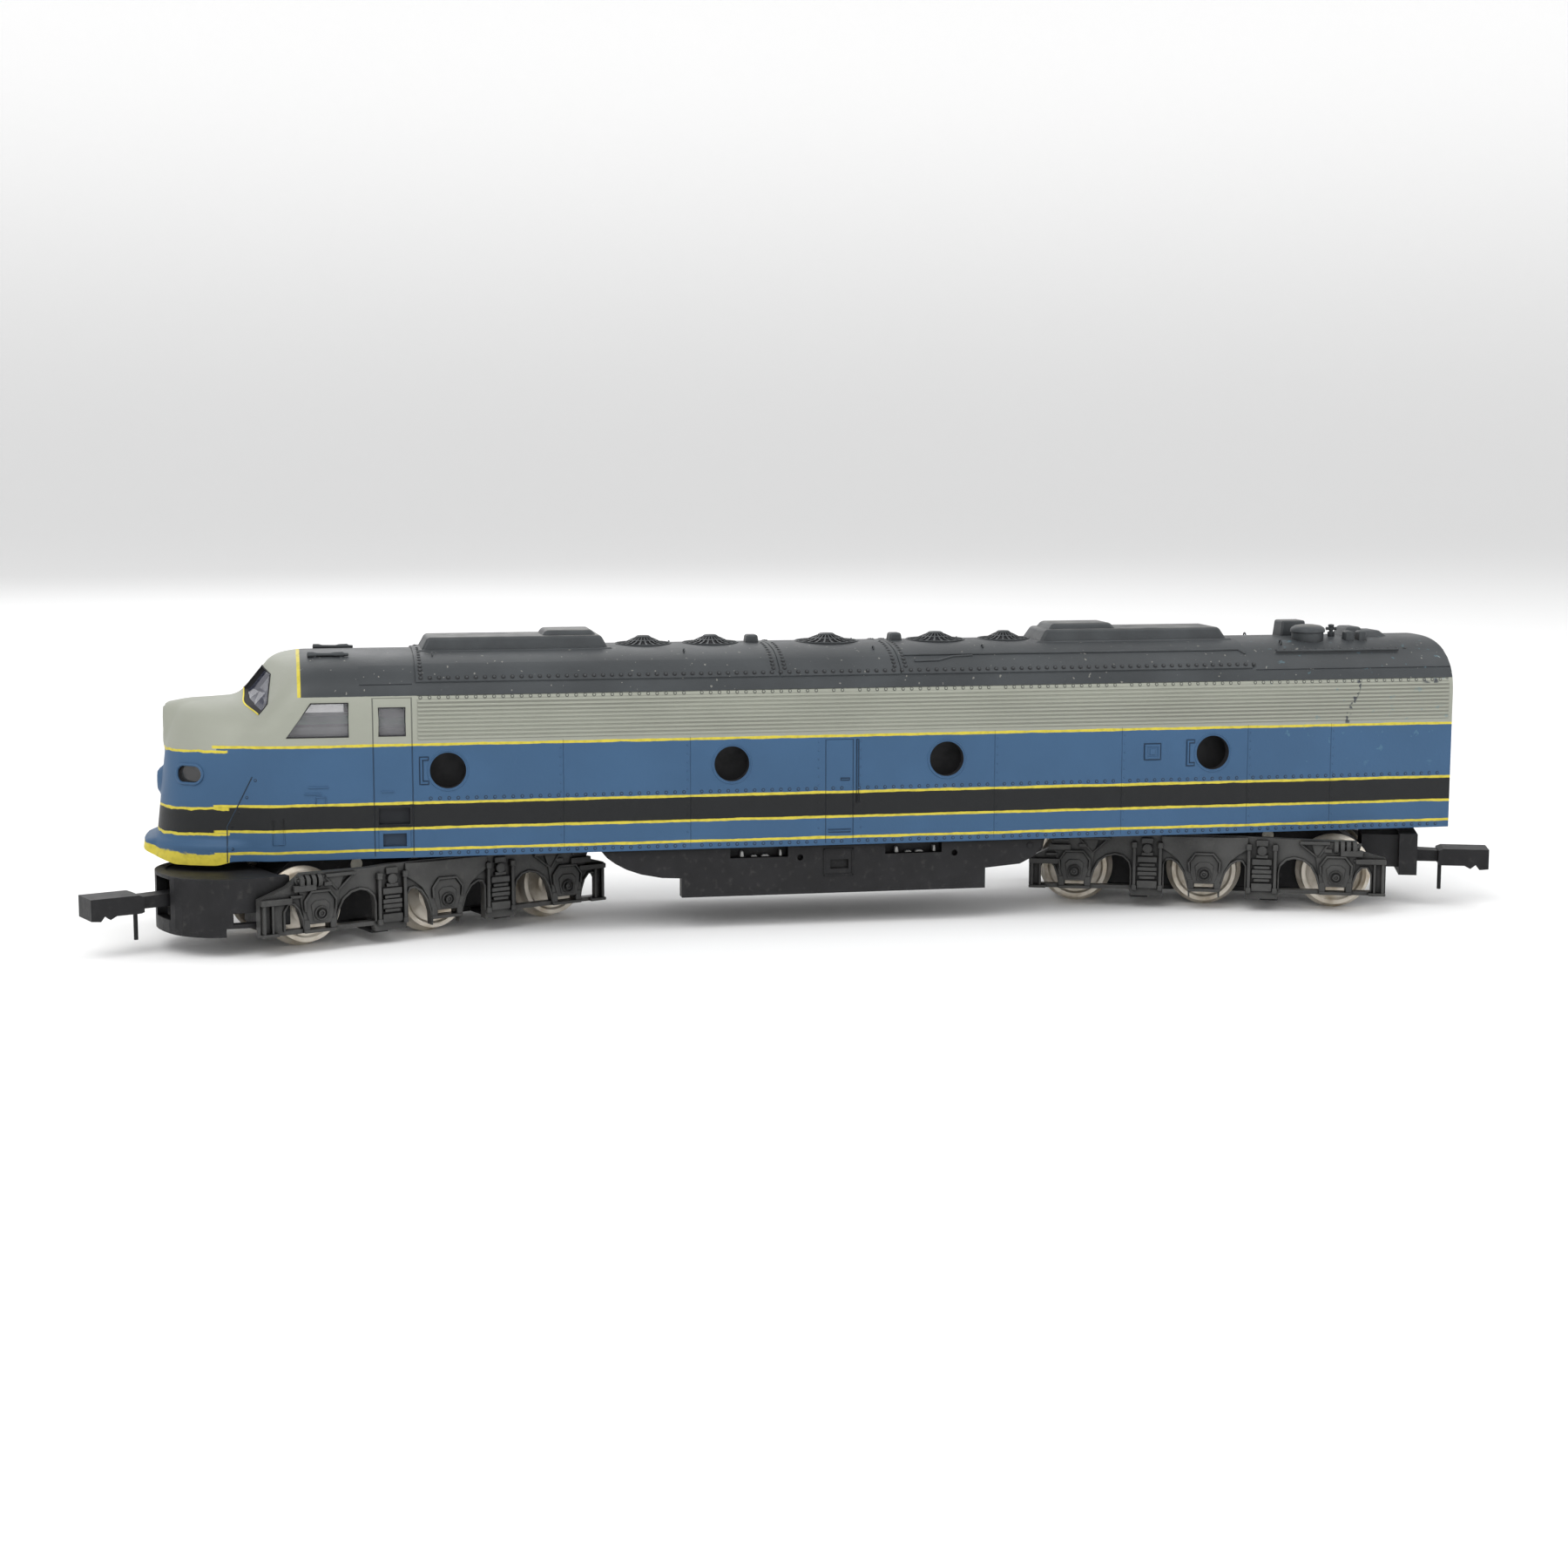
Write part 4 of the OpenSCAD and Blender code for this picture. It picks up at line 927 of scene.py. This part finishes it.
def cab_fittings():
    """Grab irons, the little steps on the cab side, and window frames."""
    irons = []
    for side in (1, -1):
        x = side * (HALF_W + 0.03)
        for y0, y1, z in ((-48.9, -47.0, 14.9), (-49.3, -47.7, 14.3)):
            irons.append([(x - side * 0.1, y0, z), (x + side * 0.03, y0 + 0.12, z),
                          (x + side * 0.03, y1 - 0.12, z), (x - side * 0.1, y1, z)])
        irons.append([(x, -42.2, 14.35), (x, -41.0, 14.35)])
        irons.append([(x, -52.2, 12.0), (x, -52.2, 9.6), (x, -51.2, 9.6), (x, -51.2, 12.0)])
        irons.append([(x, -48.2, 13.3), (x, -48.2, 14.0), (x, -47.3, 14.0), (x, -47.3, 13.3)])
    tube("grab_irons", irons, 0.07, "paint")
    frames, screens, sills = [], [], []
    for side in (1, -1):
        for outline in (CAB_WINDOW, DOOR_WINDOW):
            frames.append([(side * (HALF_W - 0.02), y, z) for y, z in outline])
        low, corner, rise, top, inner = [(side * x, z) for x, z in SCREEN]
        edge = []
        for a, c in ((corner, rise), (rise, top), (top, inner), (inner, low)):
            edge += [on_face(*p, 0.02) for p in between(a, c, 10)]
        screens.append(edge + [on_face(*low, 0.02)])
        sills.append([on_face(*p, 0.03) for p in between(low, corner, 16) + [corner]])
    ports = [[(side * (HALF_W - 0.01), y + 1.9 * math.cos(a), PORT_Z + 1.9 * math.sin(a))
              for a in circle(48)] for side in (1, -1) for y in PORT_Y]
    tube("port_rims", ports, 0.08, "paint", closed=True)
    tube("window_rubbers", frames, 0.07, "inside", closed=True)
    tube("windscreen_rubbers", screens, 0.065, "inside")
    tube("windscreen_sills", sills, 0.075, "yellow")


def light_rims():
    """Raised rims round the two nose lights and the headlight."""
    paths = []
    for side in (1, -1):
        centre, out, along, up = light_frame(side)
        ring = []
        for a, c in nose_light_outline(0.1):
            start = centre + along * a + up * c - out * 4
            hit = Vector(cast(tuple(start), tuple(out), reach=9))
            ring.append(hit + out * 0.03)
        paths.append(ring)
    tube("nose_light_rims", paths, 0.15, "paint", closed=True)
    rim = [(1.44 * math.cos(a), -62.12, LIGHT_Z + 1.44 * math.sin(a)) for a in circle(48)]
    tube("headlight_rim", [rim], 0.14, "paint", closed=True)


def sloped_box(b, y0, y1, z0, z1, w, slope, x=0.0):
    """Long box whose sides and ends lean in."""
    k = slope * 0.6
    b.ring([[(x - w, y0, z0), (x + w, y0, z0), (x + w, y1, z0), (x - w, y1, z0)],
            [(x - w + k, y0 + slope, z1), (x + w - k, y0 + slope, z1),
             (x + w - k, y1 - slope, z1), (x - w + k, y1 - slope, z1)]])


def hatch(name, long_part, high_part):
    """Roof hatch of two steps, on a narrow foot."""
    b = Builder()
    y0, y1, z, w, slope = long_part
    sloped_box(b, y0 - 0.3, y1 + 0.3, 26.2, 27.15, w + 0.3, 0.1)
    sloped_box(b, y0, y1, 26.6, z, w, slope)
    y0, y1, z, w, slope = high_part
    sloped_box(b, y0, y1, 26.6, z, w, slope)
    b.piece(name, "roof", bevel=0.28, segments=4, smooth=50)


FAN_Y, FAN_R = (-16.1, -9.4, 2.35, 13.55, 20.65), (2.8, 2.8, 3.2, 3.0, 2.65)
FAN_BASE, SPOKES = 26.9, 22


def roof_fans():
    """Domed fans: black wells with a rim, spokes that climb to a collar, and a domed hub."""
    wells, b = Builder(), Builder()
    for y, r in zip(FAN_Y, FAN_R):
        at = (0, y, FAN_BASE)
        wells.lathe([(r - 0.1, -1), (r - 0.1, 0.2), (r - 0.3, 0.26), (r * 0.6, 0.38), (r * 0.4, 0.72),
                     (0.02, 0.8)], at, "z", 48)
        b.lathe([(r - 0.22, -0.5), (r - 0.22, 0.36), (r - 0.06, 0.4), (r, 0.34), (r, -0.5)], at, "z", 56)
        b.lathe([(r * 0.5, 0), (r * 0.5, 0.66), (r * 0.46, 0.72), (r * 0.42, 0.66), (r * 0.42, 0)],
                at, "z", 40)
        b.lathe([(r * 0.26, 0.3), (r * 0.26, 1.0), (r * 0.2, 1.1), (0.02, 1.14)], at, "z", 32)
        for a in circle(SPOKES):
            u, v = Vector((math.cos(a), math.sin(a), 0)), Vector((-math.sin(a), math.cos(a), 0))
            rings, drop = [], Vector((0, 0, 0.3))
            for d, up in ((r - 0.15, 0.38), (r * 0.62, 0.5), (r * 0.46, 0.72), (r * 0.24, 0.98)):
                p = Vector((0, y, FAN_BASE + up)) + u * d
                w = 0.035 + 0.025 * d
                rings.append([p - v * w - drop, p - v * w, p + v * w, p + v * w - drop])
            b.ring(rings)
    wells.piece("roof_fan_wells", "inside", smooth=38)
    b.piece("roof_fans", "roof", smooth=38)


def roof_small():
    """Vents, horns, and the gear behind the rear hatch."""
    b = Builder()
    for y in (-5.3, 9.3):
        sloped_box(b, y - 0.75, y + 0.75, 26.5, 27.95, 0.9, 0.2)
    sloped_box(b, 50.3, 53.4, 26.0, 28.6, 1.3, 0.3, -1.2)
    for y in (55.7, 57.1):
        sloped_box(b, y, y + 1.1, 25.2, 27.75, 0.7, 0.14, 3.6)
    sloped_box(b, 56.4, 59.6, 26.3, 27.95, 1.9, 0.9, -0.3)
    sloped_box(b, 57.4, 62.2, 26.3, 27.6, 2.4, 1.6)
    b.box(4.9, 5.3, 60.9, 61.5, 25.7, 26.2)
    b.piece("rear_roof_gear", "roof", bevel=0.2, segments=3, smooth=50)
    d = Builder()
    d.lathe([(1.62, 25.0), (1.62, 27.6), (1.76, 27.66), (1.76, 27.9), (1.66, 28.1), (1.3, 28.32),
             (0.7, 28.42), (0.02, 28.44)], (3.0, 52.1, 0), "z", 40)
    d.piece("rear_roof_drum", "roof", smooth=42)
    v = Builder()
    v.lathe([(0.36, 26.3), (0.36, 27.5), (0.2, 27.55), (0.2, 28.0), (0.3, 28.05), (0.3, 28.25),
             (0.05, 28.3)], (1.5, 55.3, 0), "z", 20)
    v.lathe([(0.16, -0.55), (0.16, 0.55)], (1.5, 55.3, 27.85), "y", 12)
    for x, y, z in ((4.4, -48.7, 26.9), (-2.6, -48.1, 27.1)):
        for d in (0.7, 3.2):
            v.box(x - 0.22, x + 0.22, y + d - 0.15, y + d + 0.15, 26.2, z)
        v.lathe([(0.12, 0), (0.3, 0.06), (0.3, 0.55), (0.2, 0.95), (0.18, 2.2), (0.26, 2.6), (0.28, 3.3),
                 (0.16, 3.5), (0.14, 3.85), (0.03, 3.88)], (x, y, z), "y", 20)
    v.piece("horns_and_valve", "roof", smooth=50)


def roof_lines():
    """Conduits along the roof and the lifting rings."""
    lines = []
    for side in (1, -1):
        x, z = section_point(arch_t(26.05), -0.2)[:2]
        lines.append([(side * x, y, z) for y in (8.6, 20, 32, 43.2)] + [(side * (x + 0.6), 43.8, z - 0.4)])
        bend = [section_point(arch_t(v), -0.16) for v in (25.55, 25.6, 25.9, 25.95)]
        lines.append([(side * p[0], y, p[1]) for p, y in zip(bend, (9.6, 12.0, 13.6, 15.6))])
        x, z = section_point(arch_t(25.88), -0.2)[:2]
        lines.append([(side * x, y, z) for y in (47.2, 54, 60.3)])
    tube("roof_conduits", lines, 0.13, "roof")
    rings = []
    for y in (-37.0, -12.8, 6.0, 17.1, 48.4):
        for side in (1, -1):
            x, z = section_point(arch_t(26.6), -0.15)[:2]
            rings.append([(side * x + 0.28 * math.cos(a), y, z + 0.28 * math.sin(a)) for a in circle(14)])
    tube("lift_rings", rings, 0.075, "roof", closed=True)


def rear_end():
    """Diaphragm frame, end door and grab irons on the flat rear."""
    b = Builder()
    for side in (1, -1):
        b.box(side * 3.5 - 0.4, side * 3.5 + 0.4, REAR_Y - 0.1, REAR_Y + 0.58, 8.6, 23.4)
    b.box(-3.9, 3.9, REAR_Y - 0.1, REAR_Y + 0.58, 22.6, 23.4)
    b.piece("end_diaphragm", "moulding", slot="black_plastic", bevel=0.12, segments=3)
    d = Builder()
    d.box(-2.5, 2.5, REAR_Y - 0.1, REAR_Y + 0.12, 8.9, 22.0)
    d.box(-1.2, 1.2, REAR_Y, REAR_Y + 0.2, 17.6, 20.8)
    d.piece("end_door", "paint", bevel=0.06)
    g = Builder()
    g.box(-0.95, 0.95, REAR_Y, REAR_Y + 0.22, 17.85, 20.55)
    g.piece("end_door_window", "inside", slot="clear", bevel=0.03)
    irons = []
    for side in (1, -1):
        for x in (5.2, 7.9):
            irons.append([(side * x, REAR_Y - 0.05, 11), (side * x, REAR_Y + 0.3, 11.2),
                          (side * x, REAR_Y + 0.3, 17.8), (side * x, REAR_Y - 0.05, 18)])
    tube("end_grab_irons", irons, 0.12, "paint")


def tank_details():
    """Raised plate round the filler, worn contacts in the two slots, and the hose stub."""
    b = Builder()
    for side in (1, -1):
        x0, x1 = sorted((side * 8.55, side * 8.68))
        for y0, y1, z0, z1 in ((0.3, 3.3, 7.45, 7.6), (0.3, 0.45, 4.9, 7.6), (3.15, 3.3, 4.9, 7.6),
                               (0.3, 3.3, 4.9, 5.05)):
            b.box(x0, x1, y0, y1, z0, z1)
        b.lathe([(0.32, 0.0), (0.32, 0.12), (0.2, 0.16)], (side * 8.55, 21.2, 7.3), "x", 16, side)
    b.piece("filler_frames", "moulding", slot="black_plastic", bevel=0.03)
    c = Builder()
    for side in (1, -1):
        for start in (-8.9, 6.5):
            for y, w, h in ((1.2, 0.4, 0.6), (2.4, 0.7, 0.16), (3.5, 0.9, 0.2), (5.0, 0.3, 0.65)):
                ends = [(start + y + d * w, 6.95 + up * h)
                        for d, up in ((-0.5, 0), (0.5, 0), (0.25, 1), (-0.25, 1))]
                c.prism(ends, *sorted((side * 7.5, side * 8.35)), "x")
    c.piece("tank_contacts", "chip", slot="steel", bevel=0.05)


# ---------------------------------------------------------------- truck side frames


# each truck's pivot and yaw, its frame's two ends, and the height of its lead end
FRAME_X, AXLE_GAP, AXLE_Z, HANGER_Y = 9.0, 13.0, 3.77, 5.7
TRUCKS = {"front": (-39.5, 23.0, -18.8, 17.3, 5.4), "rear": (42.5, -19.5, -17.6, 17.9, 5.0)}
WINDOWS = ([(1.5, 0), (1.6, 2.6), (2.0, 3.9), (2.6, 4.8), (3.3, 5.2), (3.8, 5.15), (4.15, 4.6), (4.15, 0)],
           [(11.5, 2.35), (11.4, 2.9), (11.1, 3.9), (10.6, 4.8), (9.8, 5.4), (8.9, 5.6), (8.1, 5.4),
            (7.5, 4.8), (7.3, 4.1), (7.3, 2.35)],
           [(14.5, 2.35), (14.65, 3.2), (15.0, 4.2), (15.5, 4.8), (16.1, 4.8), (16.5, 4.1), (16.5, 2.35)])


def mirrored(outline):
    return [(-y, z) for y, z in outline]


BOTH_WINDOWS = [o for outline in WINDOWS for o in (outline, mirrored(outline))]


def truck_local(end, side, point):
    """Point of a truck, given with the truck straight and centred, in the model's frame."""
    pivot, yaw = TRUCKS[end][:2]
    a = math.radians(yaw)
    x, y, z = side * point[0], point[1], point[2]
    return x * math.cos(a) - y * math.sin(a), pivot + x * math.sin(a) + y * math.cos(a), z


def frame_plate(lead, trail, lead_z):
    """Flat plate of a side frame, with its tongue below."""
    b = Builder()
    outline = [(lead, 1.95), (-7.5, 1.95), (-7.3, 1.35), (7.3, 1.35), (7.5, 1.95), (trail, 1.95),
               (trail, 5.7), (trail - 2.6, 6.4), (15, 7.35), (8, 7.45), (3.6, 7.7), (-3.6, 7.7), (-8, 7.45),
               (-14.6, 7.5), (lead + 2.8, 6.4), (lead, lead_z)]
    b.prism(outline, FRAME_X - 1.55, FRAME_X - 0.62, "x")
    return b


def pedestals(b):
    """Flared plates over the axles with octagonal boxes, and the round caps."""
    x = FRAME_X
    wing = [(4.3, 7.55), (4.3, 6.3), (3.4, 5.75), (2.6, 5.1), (2.0, 4.1), (1.65, 2.95)]
    b.prism(wing + mirrored(wing)[::-1], x - 0.7, x - 0.38, "x")
    for axle in (-AXLE_GAP, 0, AXLE_GAP):
        if axle:
            plate = [(2.5, 7.2), (2.0, 5.6), (1.65, 3.6), (1.6, 2.95)]
            b.prism([(axle + y, z) for y, z in plate + mirrored(plate)[::-1]], x - 0.7, x - 0.42, "x")
        box = [(0.85, 5.7), (1.45, 4.95), (1.4, 3.9), (1.05, 2.75)]
        b.prism([(axle + y, z) for y, z in box + mirrored(box)[::-1]], x - 0.5, x - 0.32, "x")
        cover = [(0.95, 4.55), (0.5, 4.95), (-0.5, 4.95), (-0.95, 4.55), (-0.7, 3.0), (0.7, 3.0)]
        b.prism([(axle + y, z) for y, z in cover], x - 0.4, x - 0.22, "x")
        b.box(x - 0.6, x - 0.25, axle - 1.6, axle + 1.6, 1.95, 2.25)
        for y in (-1.3, 1.3):
            b.box(x - 0.7, x - 0.35, axle + y - 0.3, axle + y + 0.3, 2.0, 3.2)
    c = Builder()
    for axle in (-AXLE_GAP, 0, AXLE_GAP):
        c.lathe([(0.64, -0.3), (0.64, 0.0), (0.58, 0.06), (0.51, 0.0), (0.49, -0.12), (0.34, -0.12),
                 (0.32, 0.1), (0.22, 0.14), (0.16, 0.03), (0.02, 0.03)], (x - 0.06, axle, AXLE_Z), "x", 28)
    return c


def hangers(b):
    """Between the axles: two bars, stacked spring plates, a round cap above and a tie below."""
    x = FRAME_X
    for at in (-HANGER_Y, HANGER_Y):
        for edge in (-1.3, 1.3):
            b.box(x - 0.9, x - 0.18, at + edge - 0.16, at + edge + 0.16, 2.15, 6.85)
            b.box(x - 0.7, x - 0.1, at + edge - 0.26, at + edge + 0.26, 6.3, 6.9)
            b.box(x - 0.7, x - 0.12, at + edge - 0.24, at + edge + 0.24, 1.95, 2.5)
        for z, w, h in ((2.15, 1.05, 0.8), (3.1, 0.8, 0.3), (3.45, 1.0, 0.42), (3.92, 1.0, 0.42),
                        (4.4, 0.8, 0.3), (4.8, 1.0, 0.6), (5.5, 0.6, 0.35)):
            b.box(x - 1.0, x - 0.28, at - w, at + w, z, z + h)
        b.box(x - 0.7, x - 0.3, at - 0.6, at + 0.6, 6.7, 7.3)
        b.lathe([(0.5, -0.5), (0.5, 0.0), (0.3, 0.06), (0.02, 0.06)], (x - 0.2, at, 6.25), "x", 20)


# bars over an outer axle: from and to along the frame, heights, and depth below the face
BRACES = ((0.4, 2.6, 5.9, 6.5, 0.12), (0.6, 2.2, 6.75, 7.05, 0.25), (-3.6, -0.6, 7.0, 7.3, 0.2),
          (-1.2, -0.4, 6.2, 6.6, 0.25), (1.7, 2.9, 5.3, 5.6, 0.3))


def outer_work(b, lead, trail, lead_z, brake):
    """Braces and boxes over the outer axles, end hangers with their feet, and the brake cylinder."""
    x = FRAME_X
    for out in (-1, 1):
        axle = out * AXLE_GAP

        def at(d):
            return axle + out * d

        for d0, d1, z0, z1, up in BRACES:
            b.box(x - 0.7, x - up, *sorted((at(d0), at(d1))), z0, z1)
        for d0, d1 in ((-3.4, -1.9), (-0.7, -1.7)):
            b.prism([(at(d0), 7.05), (at(d0) - 0.25, 7.05), (at(d1) - 0.12, 5.75), (at(d1) + 0.12, 5.75)],
                    x - 0.7, x - 0.28, "x")
        end = trail if out > 0 else lead
        low, high, post = (5.15, 5.65, 5.3) if out > 0 else (lead_z - 0.55, lead_z, lead_z - 0.1)
        b.box(x - 0.8, x - 0.15, *sorted((end, end - out * 3.0)), low, high)
        for d, w in ((0.15, 0.3), (1.0, 0.22)):
            b.box(x - 0.9, x - 0.2, *sorted((end - out * d, end - out * (d + w))), 2.0, post)
        b.box(x - 0.9, x - 0.12, *sorted((end, end - out * 1.7)), 1.95, 2.25)
    y = brake * 13.9
    c = Builder()
    for k in range(4):
        at_rib = (x - 0.66, y - 1.15 + k * 0.6, 6.75)
        c.lathe([(0.5, 0), (0.64, 0.05), (0.64, 0.42), (0.5, 0.5)], at_rib, "y", 20)
    return c


def frame_holes():
    """Windows of a side frame, the notch below its middle, and the slots under the axle boxes."""
    holes = Builder()
    for outline in BOTH_WINDOWS:
        holes.prism(outline, FRAME_X - 2, FRAME_X + 1, "x")
    holes.box(FRAME_X - 2, FRAME_X + 1, -1.4, 1.4, 0, 1.95)
    for axle in (-AXLE_GAP, 0, AXLE_GAP):
        holes.box(FRAME_X - 2, FRAME_X + 1, axle - 0.95, axle + 0.95, 2.25, 2.9)
    return holes


def side_frames():
    """Four side frames: a pierced plate, its raised work, axle caps, brake cylinder and window rims."""
    for end, (_, _, lead, trail, lead_z) in TRUCKS.items():
        for side, word in ((1, "left"), (-1, "right")):
            name = f"{end}_truck_frame_{word}"
            made = new_object(name, frame_plate(lead, trail, lead_z), "truck")
            cut(made, frame_holes())
            placed = [truck_local(end, side, [c / MM for c in v.co]) for v in made.data.vertices]
            for vertex, point in zip(made.data.vertices, placed):
                vertex.co = [c * MM for c in point]
            if side < 0:
                made.data.flip_normals()
            dress(made, f"{end}_truck", bevel=0.07)
            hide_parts(f"{end}_side_frame_{word}")
            work = Builder()
            caps = pedestals(work)
            hangers(work)
            brake = outer_work(work, lead, trail, lead_z, -1 if end == "front" else 1)
            for part, label, bevel in ((work, "work", 0.08), (caps, "caps", 0), (brake, "brake", 0)):
                part.points = [truck_local(end, side, p) for p in part.points]
                name = f"{end}_truck_{label}_{word}"
                piece = part.piece(name, "truck", f"{end}_truck", "black_plastic", bevel)
                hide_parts(f"{end}_side_frame_{word}")
            edges = [[(FRAME_X - 0.55, y, max(z, 2.2)) for y, z in o] for o in BOTH_WINDOWS]
            arch = [(-1.5, 4.0), (-1.55, 4.95), (-0.9, 5.8), (0.9, 5.8), (1.55, 4.95), (1.5, 4.0)]
            edges += [[(FRAME_X - 0.22, axle + y, z) for y, z in arch] for axle in (-AXLE_GAP, 0, AXLE_GAP)]
            edges = [[truck_local(end, side, p) for p in path] for path in edges]
            tube(f"{end}_truck_rims_{word}", edges, 0.13, "truck", f"{end}_truck", "black_plastic")


# ---------------------------------------------------------------- CAD nodes that stay


CAD_LOOKS = {
    "moulding": ("fuel_tank", "front_gear_housing", "rear_gear_housing", "front_keeper_plate",
                 "rear_keeper_plate", "front_pilot", "rear_coupler_pocket", "drive_coupling_front",
                 "drive_coupling_rear", "motor_end_bell"),
    "coupler": ("front_coupler", "rear_coupler"),
    "diecast": ("frame_left", "frame_right"),
    "steel": ("frame_screws", "motor_can", "motor_shaft", "worm_front", "worm_rear", "front_coupler_spring",
              "rear_coupler_spring", "front_axle_centre", "rear_axle_centre"),
    "brass": ("brush_caps", "flywheel_front", "flywheel_rear"),
    "bronze": ("front_pickup_strips", "rear_pickup_strips"),
    "copper": ("armature",),
    "nickel": tuple(f"{end}_wheels_{at}" for end in ("front", "rear") for at in ("lead", "centre", "trail")),
    "nylon": ("frame_spacers", "worm_bearings", *(f"{end}_{part}" for end in ("front", "rear") for part in (
        "worm_gear", "idler_lead", "idler_trail", "axle_lead", "axle_trail"))),
    "board": ("circuit_board",),
    "glass": ("cab_glazing_left", "cab_glazing_right"),
    "screen": ("windshield_glazing",),
    "lens": ("headlight_lens", "nose_light_lenses"),
    "bulb": ("headlight_bulb",),
}
BEVELS = {"moulding": 0.12, "coupler": 0.12, "nickel": 0.04}


def dress_cad():
    for look, names in CAD_LOOKS.items():
        for name in names:
            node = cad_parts[name]
            node.data.materials.clear()
            node.data.materials.append(mat[look])
            if look in BEVELS:
                weld = node.modifiers.new("weld", "WELD")
                weld.merge_threshold = 0.002 * MM
                add_bevel(node, BEVELS[look])


# ---------------------------------------------------------------- floor, light, camera


CAMERA_AT = (248.02, -50.49, 46.99)
CAMERA_RIGHT = (0.192, 0.9814, 0.001)
CAMERA_DOWN = (0.1315, -0.0247, -0.991)
CAMERA_FORWARD = (-0.9725, 0.1904, -0.1338)
LENS, SENSOR = 58.37, 36.0

# floor in metres: flat radius, radius and height of its upward curve; lamps: place, size and power
FLOOR_FLAT, FLOOR_RISE, FLOOR_TOP = 1.3, 0.9, 1.2
LAMPS = (((0.30, -0.22, 0.42), 0.40, 1.5), ((0.05, 0.30, 0.50), 0.45, 1.0),
         ((-0.40, -0.10, 0.35), 0.40, 0.7), ((0.35, 0.35, 0.12), 0.30, 0.35))


def studio():
    """Pale floor that curves up into a wall all round, an even sky and four soft lamps."""
    z = min(v.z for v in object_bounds()) / MM - 0.02
    profile = [(0.0, 0.0)] + [(FLOOR_FLAT + FLOOR_RISE * math.sin(a), FLOOR_TOP * (1 - math.cos(a)))
                              for a in (math.pi / 2 * k / 16 for k in range(17))]
    b = Builder()
    b.ring([[(r / MM * math.cos(t), r / MM * math.sin(t), z + h / MM) for t in circle(64)]
            for r, h in profile], caps=False)
    ground = new_object("floor", b)
    ground.data.shade_smooth()
    s = Shade("floor", specular=0.1)
    height = s.axes()[2]
    s.link((1, 1, 1, 1), s.shader.inputs["Emission Color"])
    s.link(s.fade(height, 5, 400, 0.02, 0.3), s.shader.inputs["Emission Strength"])
    ground.data.materials.append(s.finish((0.92, 0.92, 0.92), 0.8))
    ground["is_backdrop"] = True
    world = bpy.data.worlds.new("studio")
    world.use_nodes = True
    world.node_tree.nodes["Background"].inputs[0].default_value = (1, 1, 1, 1)
    world.node_tree.nodes["Background"].inputs[1].default_value = 0.62
    bpy.context.scene.world = world
    for place, size, power in LAMPS:
        lamp = bpy.data.lights.new("soft", "AREA")
        lamp.size, lamp.energy = size, power
        holder = bpy.data.objects.new("soft", lamp)
        holder.location = place
        holder.rotation_mode = "QUATERNION"
        holder.rotation_quaternion = (Vector((0, 0, 0.012)) - Vector(place)).to_track_quat("-Z", "Y")
        show(holder)


def camera():
    """Camera from its place and three directions."""
    data = bpy.data.cameras.new("camera")
    data.sensor_width, data.lens = SENSOR, LENS
    data.clip_start, data.clip_end = 0.01, 10
    made = bpy.data.objects.new("camera", data)
    right, down, forward = Vector(CAMERA_RIGHT), Vector(CAMERA_DOWN), Vector(CAMERA_FORWARD)
    made.rotation_mode = "QUATERNION"
    made.rotation_quaternion = Matrix((right, -down, -forward)).transposed().to_quaternion()
    made.location = Vector(CAMERA_AT) * MM
    show(made)
    bpy.context.scene.camera = made


# ---------------------------------------------------------------- assembly

body_moulding()
body_rivets()
roof_rivets()
nose_seam()
cab_fittings()
light_rims()
hatch("front_hatch", (-38.2, -19.7, 28.3, 3.4, 0.9), (-27.4, -19.9, 28.8, 3.1, 1.5))
hatch("rear_hatch", (23.3, 43.6, 28.25, 3.4, 1.0), (23.5, 33.0, 28.8, 3.1, 1.7))
roof_fans()
roof_small()
roof_lines()
rear_end()
tank_details()
side_frames()
dress_cad()
studio()
camera()
bpy.context.scene.view_settings.view_transform = "Standard"
